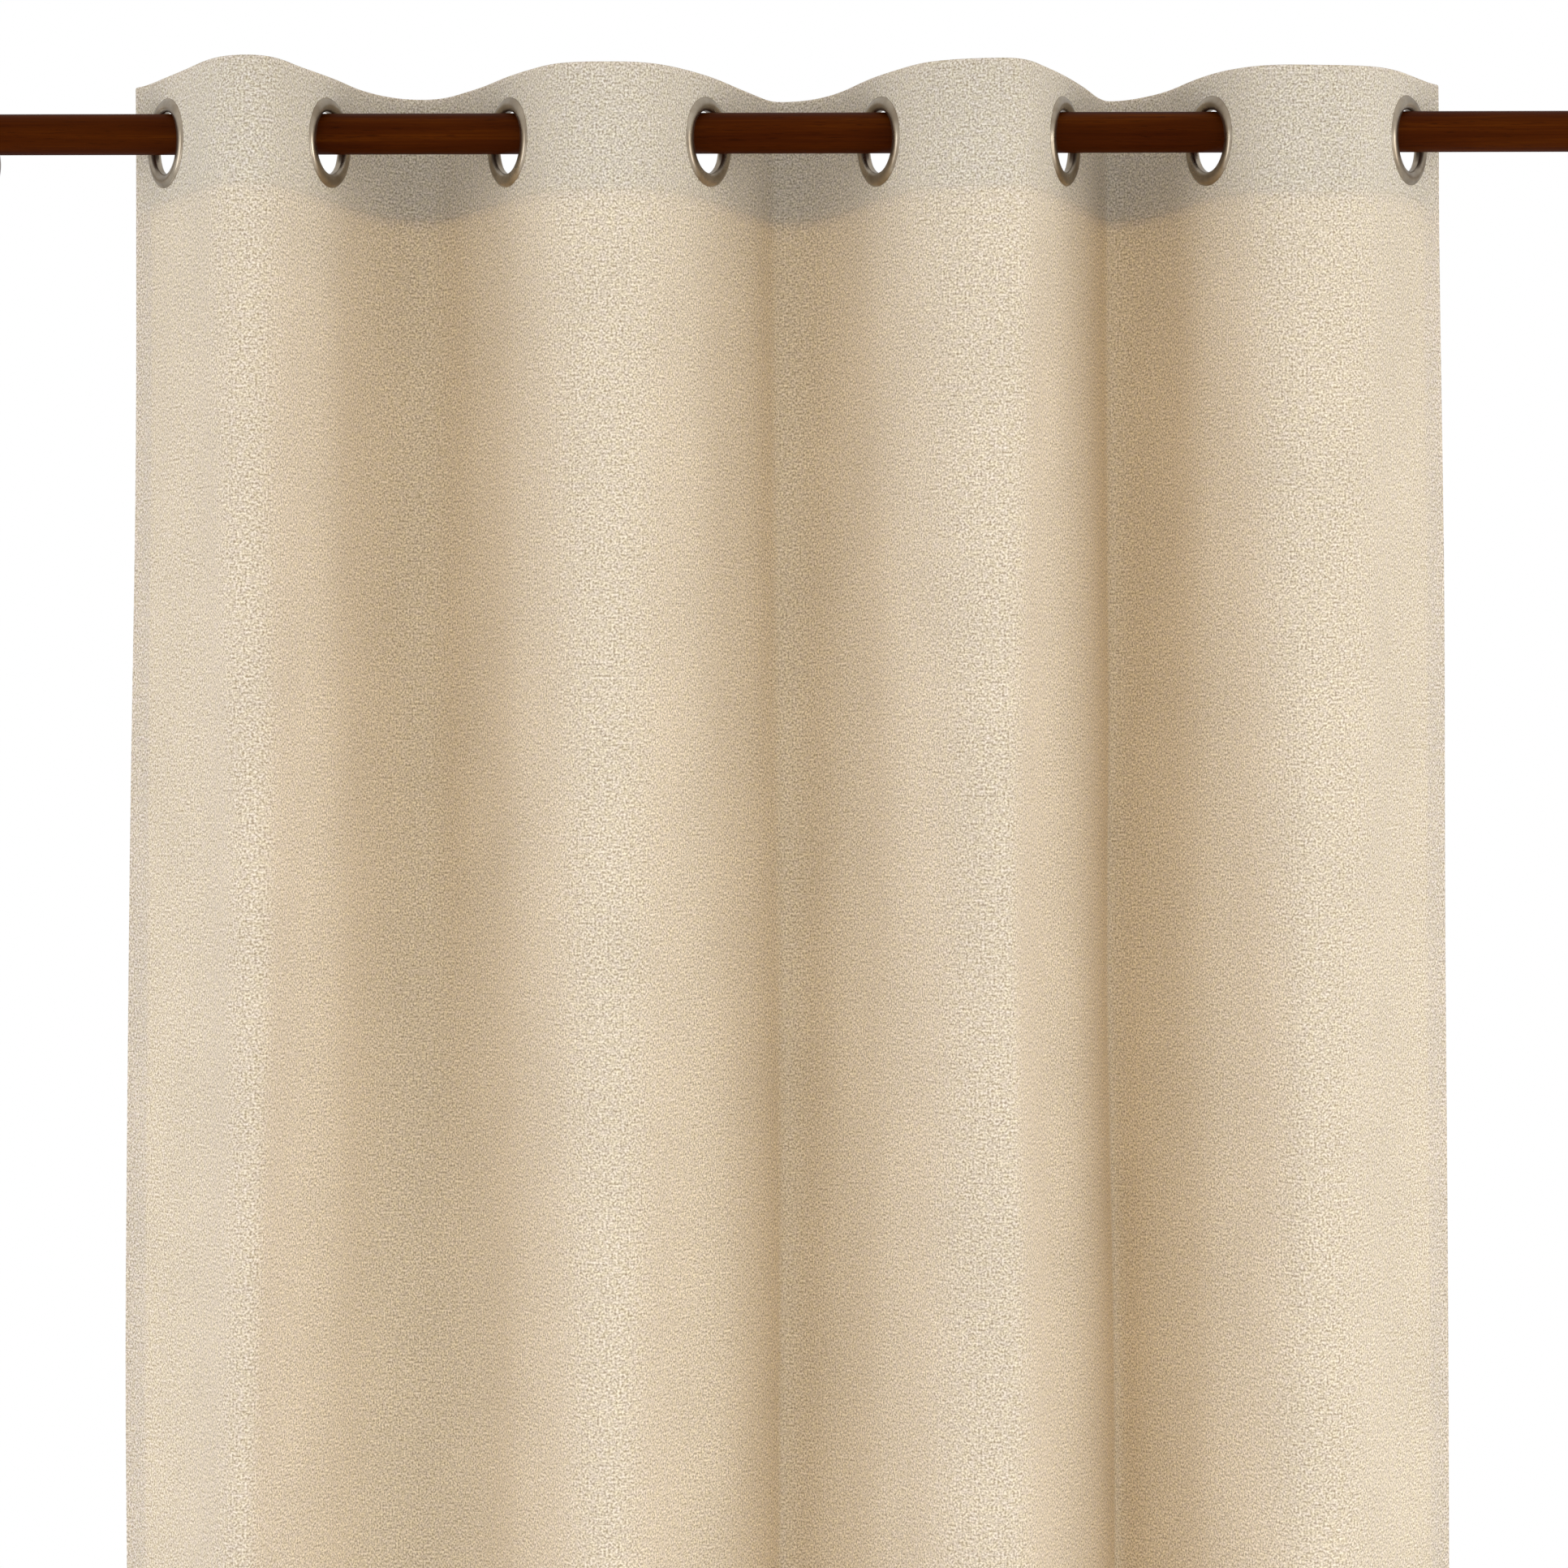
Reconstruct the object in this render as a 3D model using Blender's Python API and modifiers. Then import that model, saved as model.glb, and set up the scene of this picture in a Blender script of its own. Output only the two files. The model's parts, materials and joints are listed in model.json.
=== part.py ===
"""Eyelet curtain on a round wooden rod, held by two wall brackets.

Frame: metres, +Z up, X along the rod, -Y towards the room. The wall is the
plane Y = 0 and the origin lies on it, midway between the brackets, at the
height of the rod's axis.

The cloth hangs in folds. In plan each fold is a straight run through the
eyelet on either side and one round bend between them. Every fold bends at
its middle, so each panel of cloth is a stiff leaf hinged to the next one.
"""

import math

import bmesh
import bpy
import numpy as np
from mathutils import Matrix, Vector

# Clearances
FIT_GAP = 0.0003            # between pieces that touch or seat on each other
HEAD_GAP = 0.0008           # under the thumb screw's head
EYELET_REST_GAP = 0.0010    # eyelet's bore over the top of the rod
BEND_GAP = 0.0040           # slot between two neighbouring cloth panels, along the cloth
BORE_END_GAP = 0.0010       # past the end of a screw in its blind hole

# Rod and finials
ROD_LENGTH = 1.200
ROD_RADIUS = 0.0125
FINIAL_COLLAR_RADIUS = 0.0155
FINIAL_COLLAR_LENGTH = 0.0100
FINIAL_NECK_RADIUS = 0.0095
FINIAL_NECK_LENGTH = 0.0080
FINIAL_BALL_RADIUS = 0.0225
FINIAL_SCREW_RADIUS = 0.0030
FINIAL_SCREW_LENGTH = 0.0360

# Wall brackets
BRACKET_REACH = 0.120       # wall to the rod's axis
BRACKET_INSET = 0.060       # rod's end to the bracket's middle
PLATE_RADIUS = 0.0320
PLATE_THICKNESS = 0.0050
PLATE_CHAMFER = 0.0012
PLATE_SCREW_SPACING = 0.0440
ARM_RADIUS = 0.0070
ARM_COLLAR_RADIUS = 0.0120
ARM_COLLAR_LENGTH = 0.0080
CUP_WALL = 0.0032
CUP_WIDTH = 0.0200
CUP_RISE = 0.0060           # cup's walls above the rod's axis
BOSS_RADIUS = 0.0058
BOSS_LENGTH = 0.0040

# Screws
WALL_SCREW_RADIUS = 0.0021
WALL_SCREW_HEAD_RADIUS = 0.0042
WALL_SCREW_LENGTH = 0.0380
ARM_BOLT_RADIUS = 0.0028
ARM_BOLT_HEAD_RADIUS = 0.0055
ARM_BOLT_LENGTH = 0.0220
CUP_BOLT_RADIUS = 0.0019
CUP_BOLT_HEAD_RADIUS = 0.0037
CUP_BOLT_LENGTH = 0.0140
THUMB_SCREW_RADIUS = 0.0024
THUMB_HEAD_RADIUS = 0.0070
THUMB_HEAD_LENGTH = 0.0070

# Cloth
CURTAIN_DROP = 2.500        # top edge to bottom edge
CLOTH_THICKNESS = 0.0010
TAPE_THICKNESS = 0.0008
HEADER_HEIGHT = 0.080
HEADER_ABOVE_ROD = 0.0355   # top edge over the rod's axis
HEM_HEIGHT = 0.080
TAPE_STITCH_MARGIN = 0.0030
CLOTH_PER_FOLD = 0.187      # flat distance between two eyelets
SIDE_FLAP = 0.0455          # last eyelet's centre to the cloth's side edge
STRAIGHT_SHARE = 0.60       # straight part of an even fold's length
FOLD_SHARES = (0.5241, 0.6016, 0.6471, 0.5749, 0.5989, 0.4893, 0.6444)   # each fold's width over its cloth
EYELET_TURNS = (-10.0, 4.0, 0.0, 0.0, 0.0, 0.0, 0.0, 0.0)   # degrees from an even fold

# Eyelets
EYELET_PLAY = 0.0065        # eyelet's bore radius over the rod's radius
EYELET_WALL = 0.0014
EYELET_FLANGE = 0.0085      # width of the visible ring
EYELET_DOME = 0.0023
EYELET_CROWN_AT = 0.0044     # bore to the ring's highest line
EYELET_RIM = 0.0005          # thickness of the ring's outer edge
EYELET_THROAT = 0.0012       # half the straight part of the bore
EYELET_MOUTH_FLARE = 0.0006
EYELET_BACK_LIP = 0.0012
EYELET_BACK_DOME = 0.0020
EYELET_BACK_INSET = 0.0004   # back ring's edge inside the front ring's

# Facets
TURN_STEPS = 20
FINE_STEPS = 24
SCREW_STEPS = 10
ARC_STEPS = 5
RING_STEPS = 2
FOLD_OVER_STEPS = 3
BEND_STEP = math.radians(20.0)
MERGE = 0.00001

# Worked out
ROD_Y = -BRACKET_REACH
BRACKET_X = ROD_LENGTH / 2 - BRACKET_INSET
CUP_BORE_RADIUS = ROD_RADIUS + FIT_GAP
CUP_OUTER_RADIUS = CUP_BORE_RADIUS + CUP_WALL
EYELET_BORE_RADIUS = ROD_RADIUS + EYELET_PLAY
EYELET_BARREL_RADIUS = EYELET_BORE_RADIUS + EYELET_WALL
EYELET_OUTER_RADIUS = EYELET_BORE_RADIUS + EYELET_FLANGE
EYELET_Z = EYELET_REST_GAP - EYELET_PLAY
LAYER_OFFSET = TAPE_THICKNESS / 2 + FIT_GAP + CLOTH_THICKNESS / 2
STACK_HALF = LAYER_OFFSET + CLOTH_THICKNESS / 2
HEM_OFFSET = CLOTH_THICKNESS + FIT_GAP
FOLD_WIDTHS = [share * CLOTH_PER_FOLD for share in FOLD_SHARES]
EYELET_COUNT = len(FOLD_SHARES) + 1

CLOTH_COLOUR = (0.61, 0.51, 0.37)
TAPE_COLOUR = (0.80, 0.78, 0.73)
WOOD_COLOUR = (0.060, 0.014, 0.003)
NICKEL_COLOUR = (0.46, 0.41, 0.34)
STEEL_COLOUR = (0.50, 0.50, 0.49)


# --- Scene, materials and small helpers -------------------------------------------

def clear_scene():
    """Remove whatever the scene holds."""
    for item in list(bpy.data.objects):
        bpy.data.objects.remove(item, do_unlink=True)


def add_collection(name):
    """Make a collection under the scene's own."""
    collection = bpy.data.collections.new(name)
    bpy.context.scene.collection.children.link(collection)
    return collection


def add_material(name, colour, roughness, metallic):
    """Make a Principled material of one colour."""
    material = bpy.data.materials.new(name)
    material.use_nodes = True
    shader = material.node_tree.nodes["Principled BSDF"]
    shader.inputs["Base Color"].default_value = (*colour, 1.0)
    shader.inputs["Roughness"].default_value = roughness
    shader.inputs["Metallic"].default_value = metallic
    return material


def place(piece, point, direction=(0, 0, 1)):
    """Put a piece at a point with its own +Z along a direction."""
    turn = Vector((0, 0, 1)).rotation_difference(Vector(direction))
    piece.rotation_mode = "QUATERNION"
    piece.rotation_quaternion = turn
    piece.location = point


def finish_piece(piece, collection, material):
    """Link a piece, give it its material and shade its round faces smooth."""
    collection.objects.link(piece)
    piece.data.materials.append(material)
    if piece.data.polygons:
        piece.data.shade_smooth()
        piece.data.set_sharp_from_angle(angle=math.radians(35))


def make_cutter(piece, cutters):
    """Keep a shape as a cutter only."""
    cutters.objects.link(piece)
    piece.hide_render = True
    piece.display_type = "WIRE"
    return piece


def combine(piece, other, operation):
    """Join or cut a piece with another closed shape."""
    modifier = piece.modifiers.new(operation.lower() + "_" + other.name, "BOOLEAN")
    modifier.operation = operation
    modifier.solver = "EXACT"
    modifier.object = other


def cylinder_object(name, radius, length, steps):
    """A closed cylinder about Z, centred on its origin."""
    mesh = bpy.data.meshes.new(name)
    body = bmesh.new()
    bmesh.ops.create_cone(body, cap_ends=True, segments=steps, radius1=radius,
                          radius2=radius, depth=length)
    body.to_mesh(mesh)
    body.free()
    return bpy.data.objects.new(name, mesh)


def turned_object(name, profile, steps, ring=False):
    """Turn a (radius, height) profile about Z; it runs top to bottom on its outer side."""
    mesh = bpy.data.meshes.new(name)
    body = bmesh.new()
    points = [body.verts.new((radius, 0, height)) for radius, height in profile]
    for first, second in zip(points, points[1:]):
        body.edges.new((first, second))
    if ring:
        body.edges.new((points[-1], points[0]))
    body.to_mesh(mesh)
    body.free()
    piece = bpy.data.objects.new(name, mesh)
    screw = piece.modifiers.new("turn", "SCREW")
    screw.axis = "Z"
    screw.angle = math.tau
    screw.steps = steps
    screw.render_steps = steps
    screw.use_merge_vertices = True
    screw.merge_threshold = MERGE
    screw.use_smooth_shade = True
    return piece


def arc(centre, radius, start, end, steps, rise=None):
    """Points (radius, height) along an arc, both ends included; rise is the height of an oval one."""
    rise = radius if rise is None else rise
    angles = np.linspace(start, end, steps + 1)
    return [(centre[0] + radius * math.cos(a), centre[1] + rise * math.sin(a)) for a in angles]


# --- Plan of the folded cloth ------------------------------------------------------

def even_fold_angle(width):
    """Angle between cloth and rod where an even fold of this width meets its eyelets."""
    low, high = 0.01, math.pi
    for _ in range(60):
        angle = (low + high) / 2
        span = STRAIGHT_SHARE * math.cos(angle) + (1 - STRAIGHT_SHARE) * math.sin(angle) / angle
        if span > width / CLOTH_PER_FOLD:
            low = angle
        else:
            high = angle
    return angle


def eyelet_angles():
    """Angle between cloth and rod at each eyelet: the mean of the folds beside it."""
    folds = [even_fold_angle(width) for width in FOLD_WIDTHS]
    angles = []
    for index, turn in enumerate(EYELET_TURNS):
        beside = folds[max(index - 1, 0):index + 1]
        angles.append(sum(beside) / len(beside) + math.radians(turn))
    return angles


def fold_runs(width, angle_in, angle_out):
    """Length of the straight run in, radius of the bend, and the straight run out."""
    equations = np.array((
        (1.0, angle_in + angle_out, 1.0),
        (math.cos(angle_in), math.sin(angle_in) + math.sin(angle_out), math.cos(angle_out)),
        (math.sin(angle_in), math.cos(angle_out) - math.cos(angle_in), -math.sin(angle_out)),
    ))
    return [float(value) for value in np.linalg.solve(equations, (CLOTH_PER_FOLD, width, 0.0))]


class ClothPlan:
    """The cloth's middle line seen from above, as straight runs and round bends."""

    def __init__(self):
        self.angles = eyelet_angles()
        self.eyelet_x = [-sum(FOLD_WIDTHS) / 2]
        for width in FOLD_WIDTHS:
            self.eyelet_x.append(self.eyelet_x[-1] + width)
        self.runs = []
        self.length = 0.0
        first = -self.angles[0]
        start = Vector((self.eyelet_x[0], ROD_Y)) - SIDE_FLAP * Vector((math.cos(first), math.sin(first)))
        self.add_run(start, first, SIDE_FLAP, 0.0)
        self.eyelet_at = [self.length]
        for index, width in enumerate(FOLD_WIDTHS):
            self.add_fold(index, width)
            self.eyelet_at.append(self.length)
        self.add_run(self.end_point(), self.end_heading(), SIDE_FLAP, 0.0)
        self.bend_at = [self.middle_of_fold(index) for index in range(len(FOLD_WIDTHS))]

    def add_run(self, point, heading, length, curvature):
        """Add a stretch that starts at a point with a heading."""
        self.runs.append((self.length, length, point, heading, curvature))
        self.length += length

    def add_fold(self, index, width):
        """Add the two straight runs and the bend between two eyelets."""
        angle_in, angle_out = self.angles[index], self.angles[index + 1]
        run_in, radius, run_out = fold_runs(width, angle_in, angle_out)
        side = 1.0 if index % 2 == 0 else -1.0
        bend = (radius * (angle_in + angle_out), side / radius)
        for length, curvature in ((run_in, 0.0), bend, (run_out, 0.0)):
            self.add_run(self.end_point(), self.end_heading(), length, curvature)

    def end_point(self):
        """Where the line has got to."""
        return self.at(self.length)[0]

    def end_heading(self):
        """The heading it has got to."""
        return self.at(self.length)[1]

    def at(self, distance):
        """Point and heading at a distance along the cloth from its left edge."""
        for begin, length, point, heading, curvature in reversed(self.runs):
            if distance >= begin:
                break
        along = distance - begin
        if curvature == 0.0:
            return point + along * Vector((math.cos(heading), math.sin(heading))), heading
        new_heading = heading + curvature * along
        across = Vector((math.sin(new_heading) - math.sin(heading),
                         math.cos(heading) - math.cos(new_heading)))
        return point + across / curvature, new_heading

    def middle_of_fold(self, index):
        """Distance along the cloth at which a fold is halfway between its eyelets."""
        target = (self.eyelet_x[index] + self.eyelet_x[index + 1]) / 2
        low, high = self.eyelet_at[index], self.eyelet_at[index + 1]
        for _ in range(50):
            middle = (low + high) / 2
            if self.at(middle)[0].x < target:
                low = middle
            else:
                high = middle
        return middle

    def stations(self, start, end):
        """Distances from start to end that follow every bend in short steps."""
        marks = [start]
        for begin, length, _, _, curvature in self.runs:
            low, high = max(begin, start), min(begin + length, end)
            if high <= low:
                continue
            pieces = max(1, math.ceil(abs(curvature) * (high - low) / BEND_STEP))
            marks.extend(float(mark) for mark in np.linspace(low, high, pieces + 1)[1:])
        return marks

    def surface_point(self, distance, offset, height):
        """A point beside the line, offset towards the room, at a height."""
        point, heading = self.at(distance)
        return Vector((point.x + offset * math.sin(heading), point.y - offset * math.cos(heading), height))

    def front_normal(self, index):
        """Direction in which an eyelet's front faces."""
        heading = self.at(self.eyelet_at[index])[1]
        return Vector((math.sin(heading), -math.cos(heading), 0.0))

    def eyelet_centre(self, index):
        """Centre of an eyelet."""
        return Vector((self.eyelet_x[index], ROD_Y, EYELET_Z))

    def panel_range(self, index):
        """Start and end of a panel along the cloth, short of the bends it is hinged at."""
        start = 0.0 if index == 0 else self.bend_at[index - 1] + BEND_GAP / 2
        end = self.length if index == len(FOLD_WIDTHS) else self.bend_at[index] - BEND_GAP / 2
        return start, end


# --- Cloth -------------------------------------------------------------------------

def sheet_object(name, plan, marks, route, thickness):
    """A sheet that follows the plan along X and a route of (offset, height) up and over."""
    mesh = bpy.data.meshes.new(name)
    body = bmesh.new()
    columns, rows = len(marks) - 1, len(route) - 1
    bmesh.ops.create_grid(body, x_segments=columns, y_segments=rows, size=1.0)
    for vertex in body.verts:
        column = round((vertex.co.x + 1) / 2 * columns)
        row = round((vertex.co.y + 1) / 2 * rows)
        offset, height = route[row]
        vertex.co = plan.surface_point(marks[column], offset, height)
    body.to_mesh(mesh)
    body.free()
    piece = bpy.data.objects.new(name, mesh)
    solidify = piece.modifiers.new("thickness", "SOLIDIFY")
    solidify.thickness = thickness
    solidify.offset = 0.0
    solidify.use_even_offset = True
    return piece


def half_turn(centre_offset, height, radius, rising):
    """Route points of cloth folded over or under, from one layer to the other."""
    angles = np.linspace(0, math.pi, FOLD_OVER_STEPS + 1)
    side = 1.0 if rising else -1.0
    return [(centre_offset + side * radius * math.cos(a), height + side * radius * math.sin(a))
            for a in angles]


def panel_route():
    """Cross-section of the cloth: hem, front layer, fold over the top, back of the header."""
    top, bottom = HEADER_ABOVE_ROD, HEADER_ABOVE_ROD - CURTAIN_DROP
    half = CLOTH_THICKNESS / 2
    hem_radius = HEM_OFFSET / 2
    hem_back = LAYER_OFFSET - HEM_OFFSET
    under = half_turn(LAYER_OFFSET - hem_radius, bottom + half + hem_radius, hem_radius, False)
    over = half_turn(0.0, top - half - LAYER_OFFSET, LAYER_OFFSET, True)
    return [(hem_back, bottom + HEM_HEIGHT), *under, *over, (-LAYER_OFFSET, top - HEADER_HEIGHT)]


def tape_route():
    """Cross-section of the heading tape, between the header's two layers."""
    top = HEADER_ABOVE_ROD - CLOTH_THICKNESS / 2 - LAYER_OFFSET
    return [(0.0, HEADER_ABOVE_ROD - HEADER_HEIGHT + TAPE_STITCH_MARGIN), (0.0, top)]


def eyelet_hole_cutter(plan, index, cutters):
    """The round hole that an eyelet's barrel passes through."""
    cutter = cylinder_object(f"eyelet_hole_cutter_{index + 1}", EYELET_BARREL_RADIUS + FIT_GAP,
                             4 * STACK_HALF, TURN_STEPS)
    place(cutter, plan.eyelet_centre(index), plan.front_normal(index))
    return make_cutter(cutter, cutters)


def make_panel(plan, index, parts, cutter, cloth, tape):
    """One leaf of the curtain and the piece of heading tape inside its header."""
    marks = plan.stations(*plan.panel_range(index))
    panel = sheet_object(f"cloth_panel_{index + 1}", plan, marks, panel_route(), CLOTH_THICKNESS)
    stiffener = sheet_object(f"heading_tape_{index + 1}", plan, marks, tape_route(), TAPE_THICKNESS)
    for piece, material in ((panel, cloth), (stiffener, tape)):
        combine(piece, cutter, "DIFFERENCE")
        finish_piece(piece, parts, material)
    return [panel, stiffener]


# --- Eyelets -----------------------------------------------------------------------

def eyelet_front_profile():
    """Domed front ring with the barrel that goes through the cloth."""
    seat = STACK_HALF + FIT_GAP
    bore, barrel, outer = EYELET_BORE_RADIUS, EYELET_BARREL_RADIUS, EYELET_OUTER_RADIUS
    crown_radius = bore + EYELET_CROWN_AT
    crown = seat + EYELET_DOME
    end = -(seat + EYELET_BACK_LIP)
    mouth = arc((crown_radius, EYELET_THROAT), EYELET_CROWN_AT, math.pi, math.pi / 2, RING_STEPS,
                rise=crown - EYELET_THROAT)
    flank = arc((crown_radius, seat + EYELET_RIM), outer - crown_radius, math.pi / 2, 0, RING_STEPS,
                rise=EYELET_DOME - EYELET_RIM)
    return [*mouth, *flank[1:], (outer, seat), (barrel, seat), (barrel, end),
            (bore + EYELET_MOUTH_FLARE, end), (bore, -EYELET_THROAT)]


def eyelet_back_profile():
    """Clamping ring on the barrel, behind the cloth."""
    seat = -(STACK_HALF + FIT_GAP)
    inner = EYELET_BARREL_RADIUS + FIT_GAP
    outer = EYELET_OUTER_RADIUS - EYELET_BACK_INSET
    flank = arc((outer - EYELET_BACK_DOME, seat), EYELET_BACK_DOME, 0, -math.pi / 2, RING_STEPS)
    return [*flank, (inner, seat - EYELET_BACK_LIP), (inner, seat)]


def make_eyelet(plan, index, parts, nickel):
    """The two halves of one eyelet, clamped through the header."""
    pieces = []
    for side, profile in (("front", eyelet_front_profile()), ("back", eyelet_back_profile())):
        ring = turned_object(f"eyelet_{side}_{index + 1}", profile, TURN_STEPS, ring=True)
        place(ring, plan.eyelet_centre(index), plan.front_normal(index))
        finish_piece(ring, parts, nickel)
        pieces.append(ring)
    return pieces


# --- Rod and finials ---------------------------------------------------------------

def finial_screw_bore_cutter(name, x, cutters):
    """Blind bore for a finial screw, the same in the rod's end and in the finial."""
    cutter = cylinder_object(name, FINIAL_SCREW_RADIUS + FIT_GAP,
                             FINIAL_SCREW_LENGTH + 2 * BORE_END_GAP, SCREW_STEPS)
    place(cutter, (x, ROD_Y, 0), (1, 0, 0))
    return make_cutter(cutter, cutters)


def finial_profile():
    """Turned wooden end: collar, neck and ball; its base is at height 0."""
    collar_top = FINIAL_COLLAR_LENGTH
    neck_top = collar_top + FINIAL_NECK_LENGTH
    bead = FINIAL_COLLAR_LENGTH / 4
    start = math.asin(FINIAL_NECK_RADIUS / FINIAL_BALL_RADIUS)
    ball_centre = neck_top + FINIAL_BALL_RADIUS * math.cos(start)
    ball = arc((0, ball_centre), FINIAL_BALL_RADIUS, math.pi / 2, start - math.pi / 2, 2 * ARC_STEPS)
    ball[0] = (0.0, ball_centre + FINIAL_BALL_RADIUS)
    collar = arc((FINIAL_COLLAR_RADIUS - bead, collar_top - bead), bead, math.pi / 2, -math.pi / 2, ARC_STEPS)
    base = [(FINIAL_COLLAR_RADIUS - bead, 0.0), (0.0, 0.0)]
    return [*ball, (FINIAL_NECK_RADIUS, collar_top), *collar, *base]


def make_rod(parts, cutters, wood):
    """The round rod with a bore for a finial screw in each end."""
    rod = cylinder_object("rod", ROD_RADIUS, ROD_LENGTH, FINE_STEPS)
    place(rod, (0, ROD_Y, 0), (1, 0, 0))
    finish_piece(rod, parts, wood)
    for side, name in ((-1, "left"), (1, "right")):
        end = side * (ROD_LENGTH / 2 + FIT_GAP / 2)
        combine(rod, finial_screw_bore_cutter(f"rod_bore_cutter_{name}", end, cutters), "DIFFERENCE")
    return rod


def make_finial(side, name, parts, cutters, wood, steel):
    """A finial and the double-ended screw that holds it to the rod."""
    base = side * (ROD_LENGTH / 2 + FIT_GAP)
    finial = turned_object(f"finial_{name}", finial_profile(), FINE_STEPS)
    place(finial, (base, ROD_Y, 0), (side, 0, 0))
    middle = side * (ROD_LENGTH / 2 + FIT_GAP / 2)
    combine(finial, finial_screw_bore_cutter(f"finial_bore_cutter_{name}", middle, cutters), "DIFFERENCE")
    finish_piece(finial, parts, wood)
    half, radius = FINIAL_SCREW_LENGTH / 2, FINIAL_SCREW_RADIUS
    profile = [(0, half), (radius, half - radius), (radius, radius - half), (0, -half)]
    screw = turned_object(f"finial_screw_{name}", profile, SCREW_STEPS)
    place(screw, (middle, ROD_Y, 0), (1, 0, 0))
    finish_piece(screw, parts, steel)
    return [finial, screw]


# --- Wall brackets -----------------------------------------------------------------

def countersunk_profile(head_radius, radius, length, grow=0.0, point=0.0):
    """Countersunk screw: head's flat face at height 0, shank down; grow is for its hole."""
    cone = head_radius - radius
    tip = -(length + grow)
    profile = [(0, 0), (head_radius + grow, 0), (head_radius + grow, -2 * grow),
               (radius + grow, -cone - 2 * grow)]
    if grow == 0.0:
        profile = [(0, 0), (head_radius, 0), (radius, -cone)]
    return [*profile, (radius + grow, tip + point), (0, tip)]


def make_wall_plate(x, name, parts, cutters, nickel):
    """Round plate, flat against the wall, with a centre hole and two screw holes."""
    front = PLATE_THICKNESS
    profile = [(0, front), (PLATE_RADIUS - PLATE_CHAMFER, front), (PLATE_RADIUS, front - PLATE_CHAMFER),
               (PLATE_RADIUS, 0), (0, 0)]
    plate = turned_object(f"wall_plate_{name}", profile, FINE_STEPS)
    place(plate, (x, 0, 0), (0, -1, 0))
    for sign, place_name in ((1, "top"), (-1, "bottom")):
        hole = turned_object(f"wall_screw_hole_cutter_{name}_{place_name}", countersunk_profile(
            WALL_SCREW_HEAD_RADIUS, WALL_SCREW_RADIUS, WALL_SCREW_LENGTH, FIT_GAP), SCREW_STEPS)
        place(hole, (x, -PLATE_THICKNESS - FIT_GAP, sign * PLATE_SCREW_SPACING / 2), (0, -1, 0))
        combine(plate, make_cutter(hole, cutters), "DIFFERENCE")
    centre = turned_object(f"arm_bolt_hole_cutter_{name}", countersunk_profile(
        ARM_BOLT_HEAD_RADIUS, ARM_BOLT_RADIUS, ARM_BOLT_LENGTH, FIT_GAP), SCREW_STEPS)
    place(centre, (x, FIT_GAP, 0), (0, 1, 0))
    combine(plate, make_cutter(centre, cutters), "DIFFERENCE")
    finish_piece(plate, parts, nickel)
    return plate


def make_arm(x, name, parts, cutters, nickel):
    """Round arm with a collar at the plate and a saddle end that fits the cup."""
    back = PLATE_THICKNESS + FIT_GAP
    chamfer = ARM_COLLAR_RADIUS - ARM_RADIUS
    collar_end = back + ARM_COLLAR_LENGTH
    profile = [(0, BRACKET_REACH), (ARM_RADIUS, BRACKET_REACH), (ARM_RADIUS, collar_end),
               (ARM_COLLAR_RADIUS, collar_end - chamfer / 2), (ARM_COLLAR_RADIUS, back), (0, back)]
    arm = turned_object(f"bracket_arm_{name}", profile, TURN_STEPS)
    place(arm, (x, 0, 0), (0, -1, 0))
    saddle_outline = u_outline(CUP_OUTER_RADIUS + FIT_GAP, 2 * ARM_RADIUS)
    saddle = extruded_outline(f"arm_saddle_cutter_{name}", saddle_outline, 2 * CUP_WIDTH)
    saddle.matrix_world = across_rod(x)
    plate_end = cylinder_object(f"arm_bolt_bore_cutter_{name}", ARM_BOLT_RADIUS + FIT_GAP,
                                2 * (ARM_BOLT_LENGTH + BORE_END_GAP), SCREW_STEPS)
    place(plate_end, (x, 0, 0), (0, 1, 0))
    cup_end = cylinder_object(f"cup_bolt_bore_cutter_{name}", CUP_BOLT_RADIUS + FIT_GAP,
                              2 * (CUP_BORE_RADIUS + CUP_BOLT_LENGTH + BORE_END_GAP), SCREW_STEPS)
    place(cup_end, (x, ROD_Y, 0), (0, 1, 0))
    for cutter in (saddle, plate_end, cup_end):
        combine(arm, make_cutter(cutter, cutters), "DIFFERENCE")
    finish_piece(arm, parts, nickel)
    return arm


def u_outline(radius, rise):
    """U shape in (Y, Z) about the rod's axis: down the front, round, up the back."""
    bowl = arc((0, 0), radius, math.pi, math.tau, 2 * ARC_STEPS)
    return [(-radius, rise), *bowl, (radius, rise)]


def cup_outline():
    """Outline of the cup's wall: the outer U and back along the inner one."""
    return u_outline(CUP_OUTER_RADIUS, CUP_RISE) + u_outline(CUP_BORE_RADIUS, CUP_RISE)[::-1]


def extruded_outline(name, outline, width):
    """A flat outline made into a solid of a width along its own Z, as a mesh."""
    curve = bpy.data.curves.new(name + "_outline", "CURVE")
    curve.dimensions = "2D"
    curve.fill_mode = "BOTH"
    curve.extrude = width / 2
    spline = curve.splines.new("POLY")
    spline.points.add(len(outline) - 1)
    for point, (across, up) in zip(spline.points, outline):
        point.co = (across, up, 0, 1)
    spline.use_cyclic_u = True
    drawn = bpy.data.objects.new(name + "_outline", curve)
    bpy.context.scene.collection.objects.link(drawn)
    graph = bpy.context.evaluated_depsgraph_get()
    mesh = bpy.data.meshes.new_from_object(drawn.evaluated_get(graph))
    body = bmesh.new()
    body.from_mesh(mesh)
    bmesh.ops.remove_doubles(body, verts=body.verts, dist=MERGE)
    bmesh.ops.recalc_face_normals(body, faces=body.faces)
    body.to_mesh(mesh)
    body.free()
    bpy.data.objects.remove(drawn, do_unlink=True)
    return bpy.data.objects.new(name, mesh)


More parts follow.
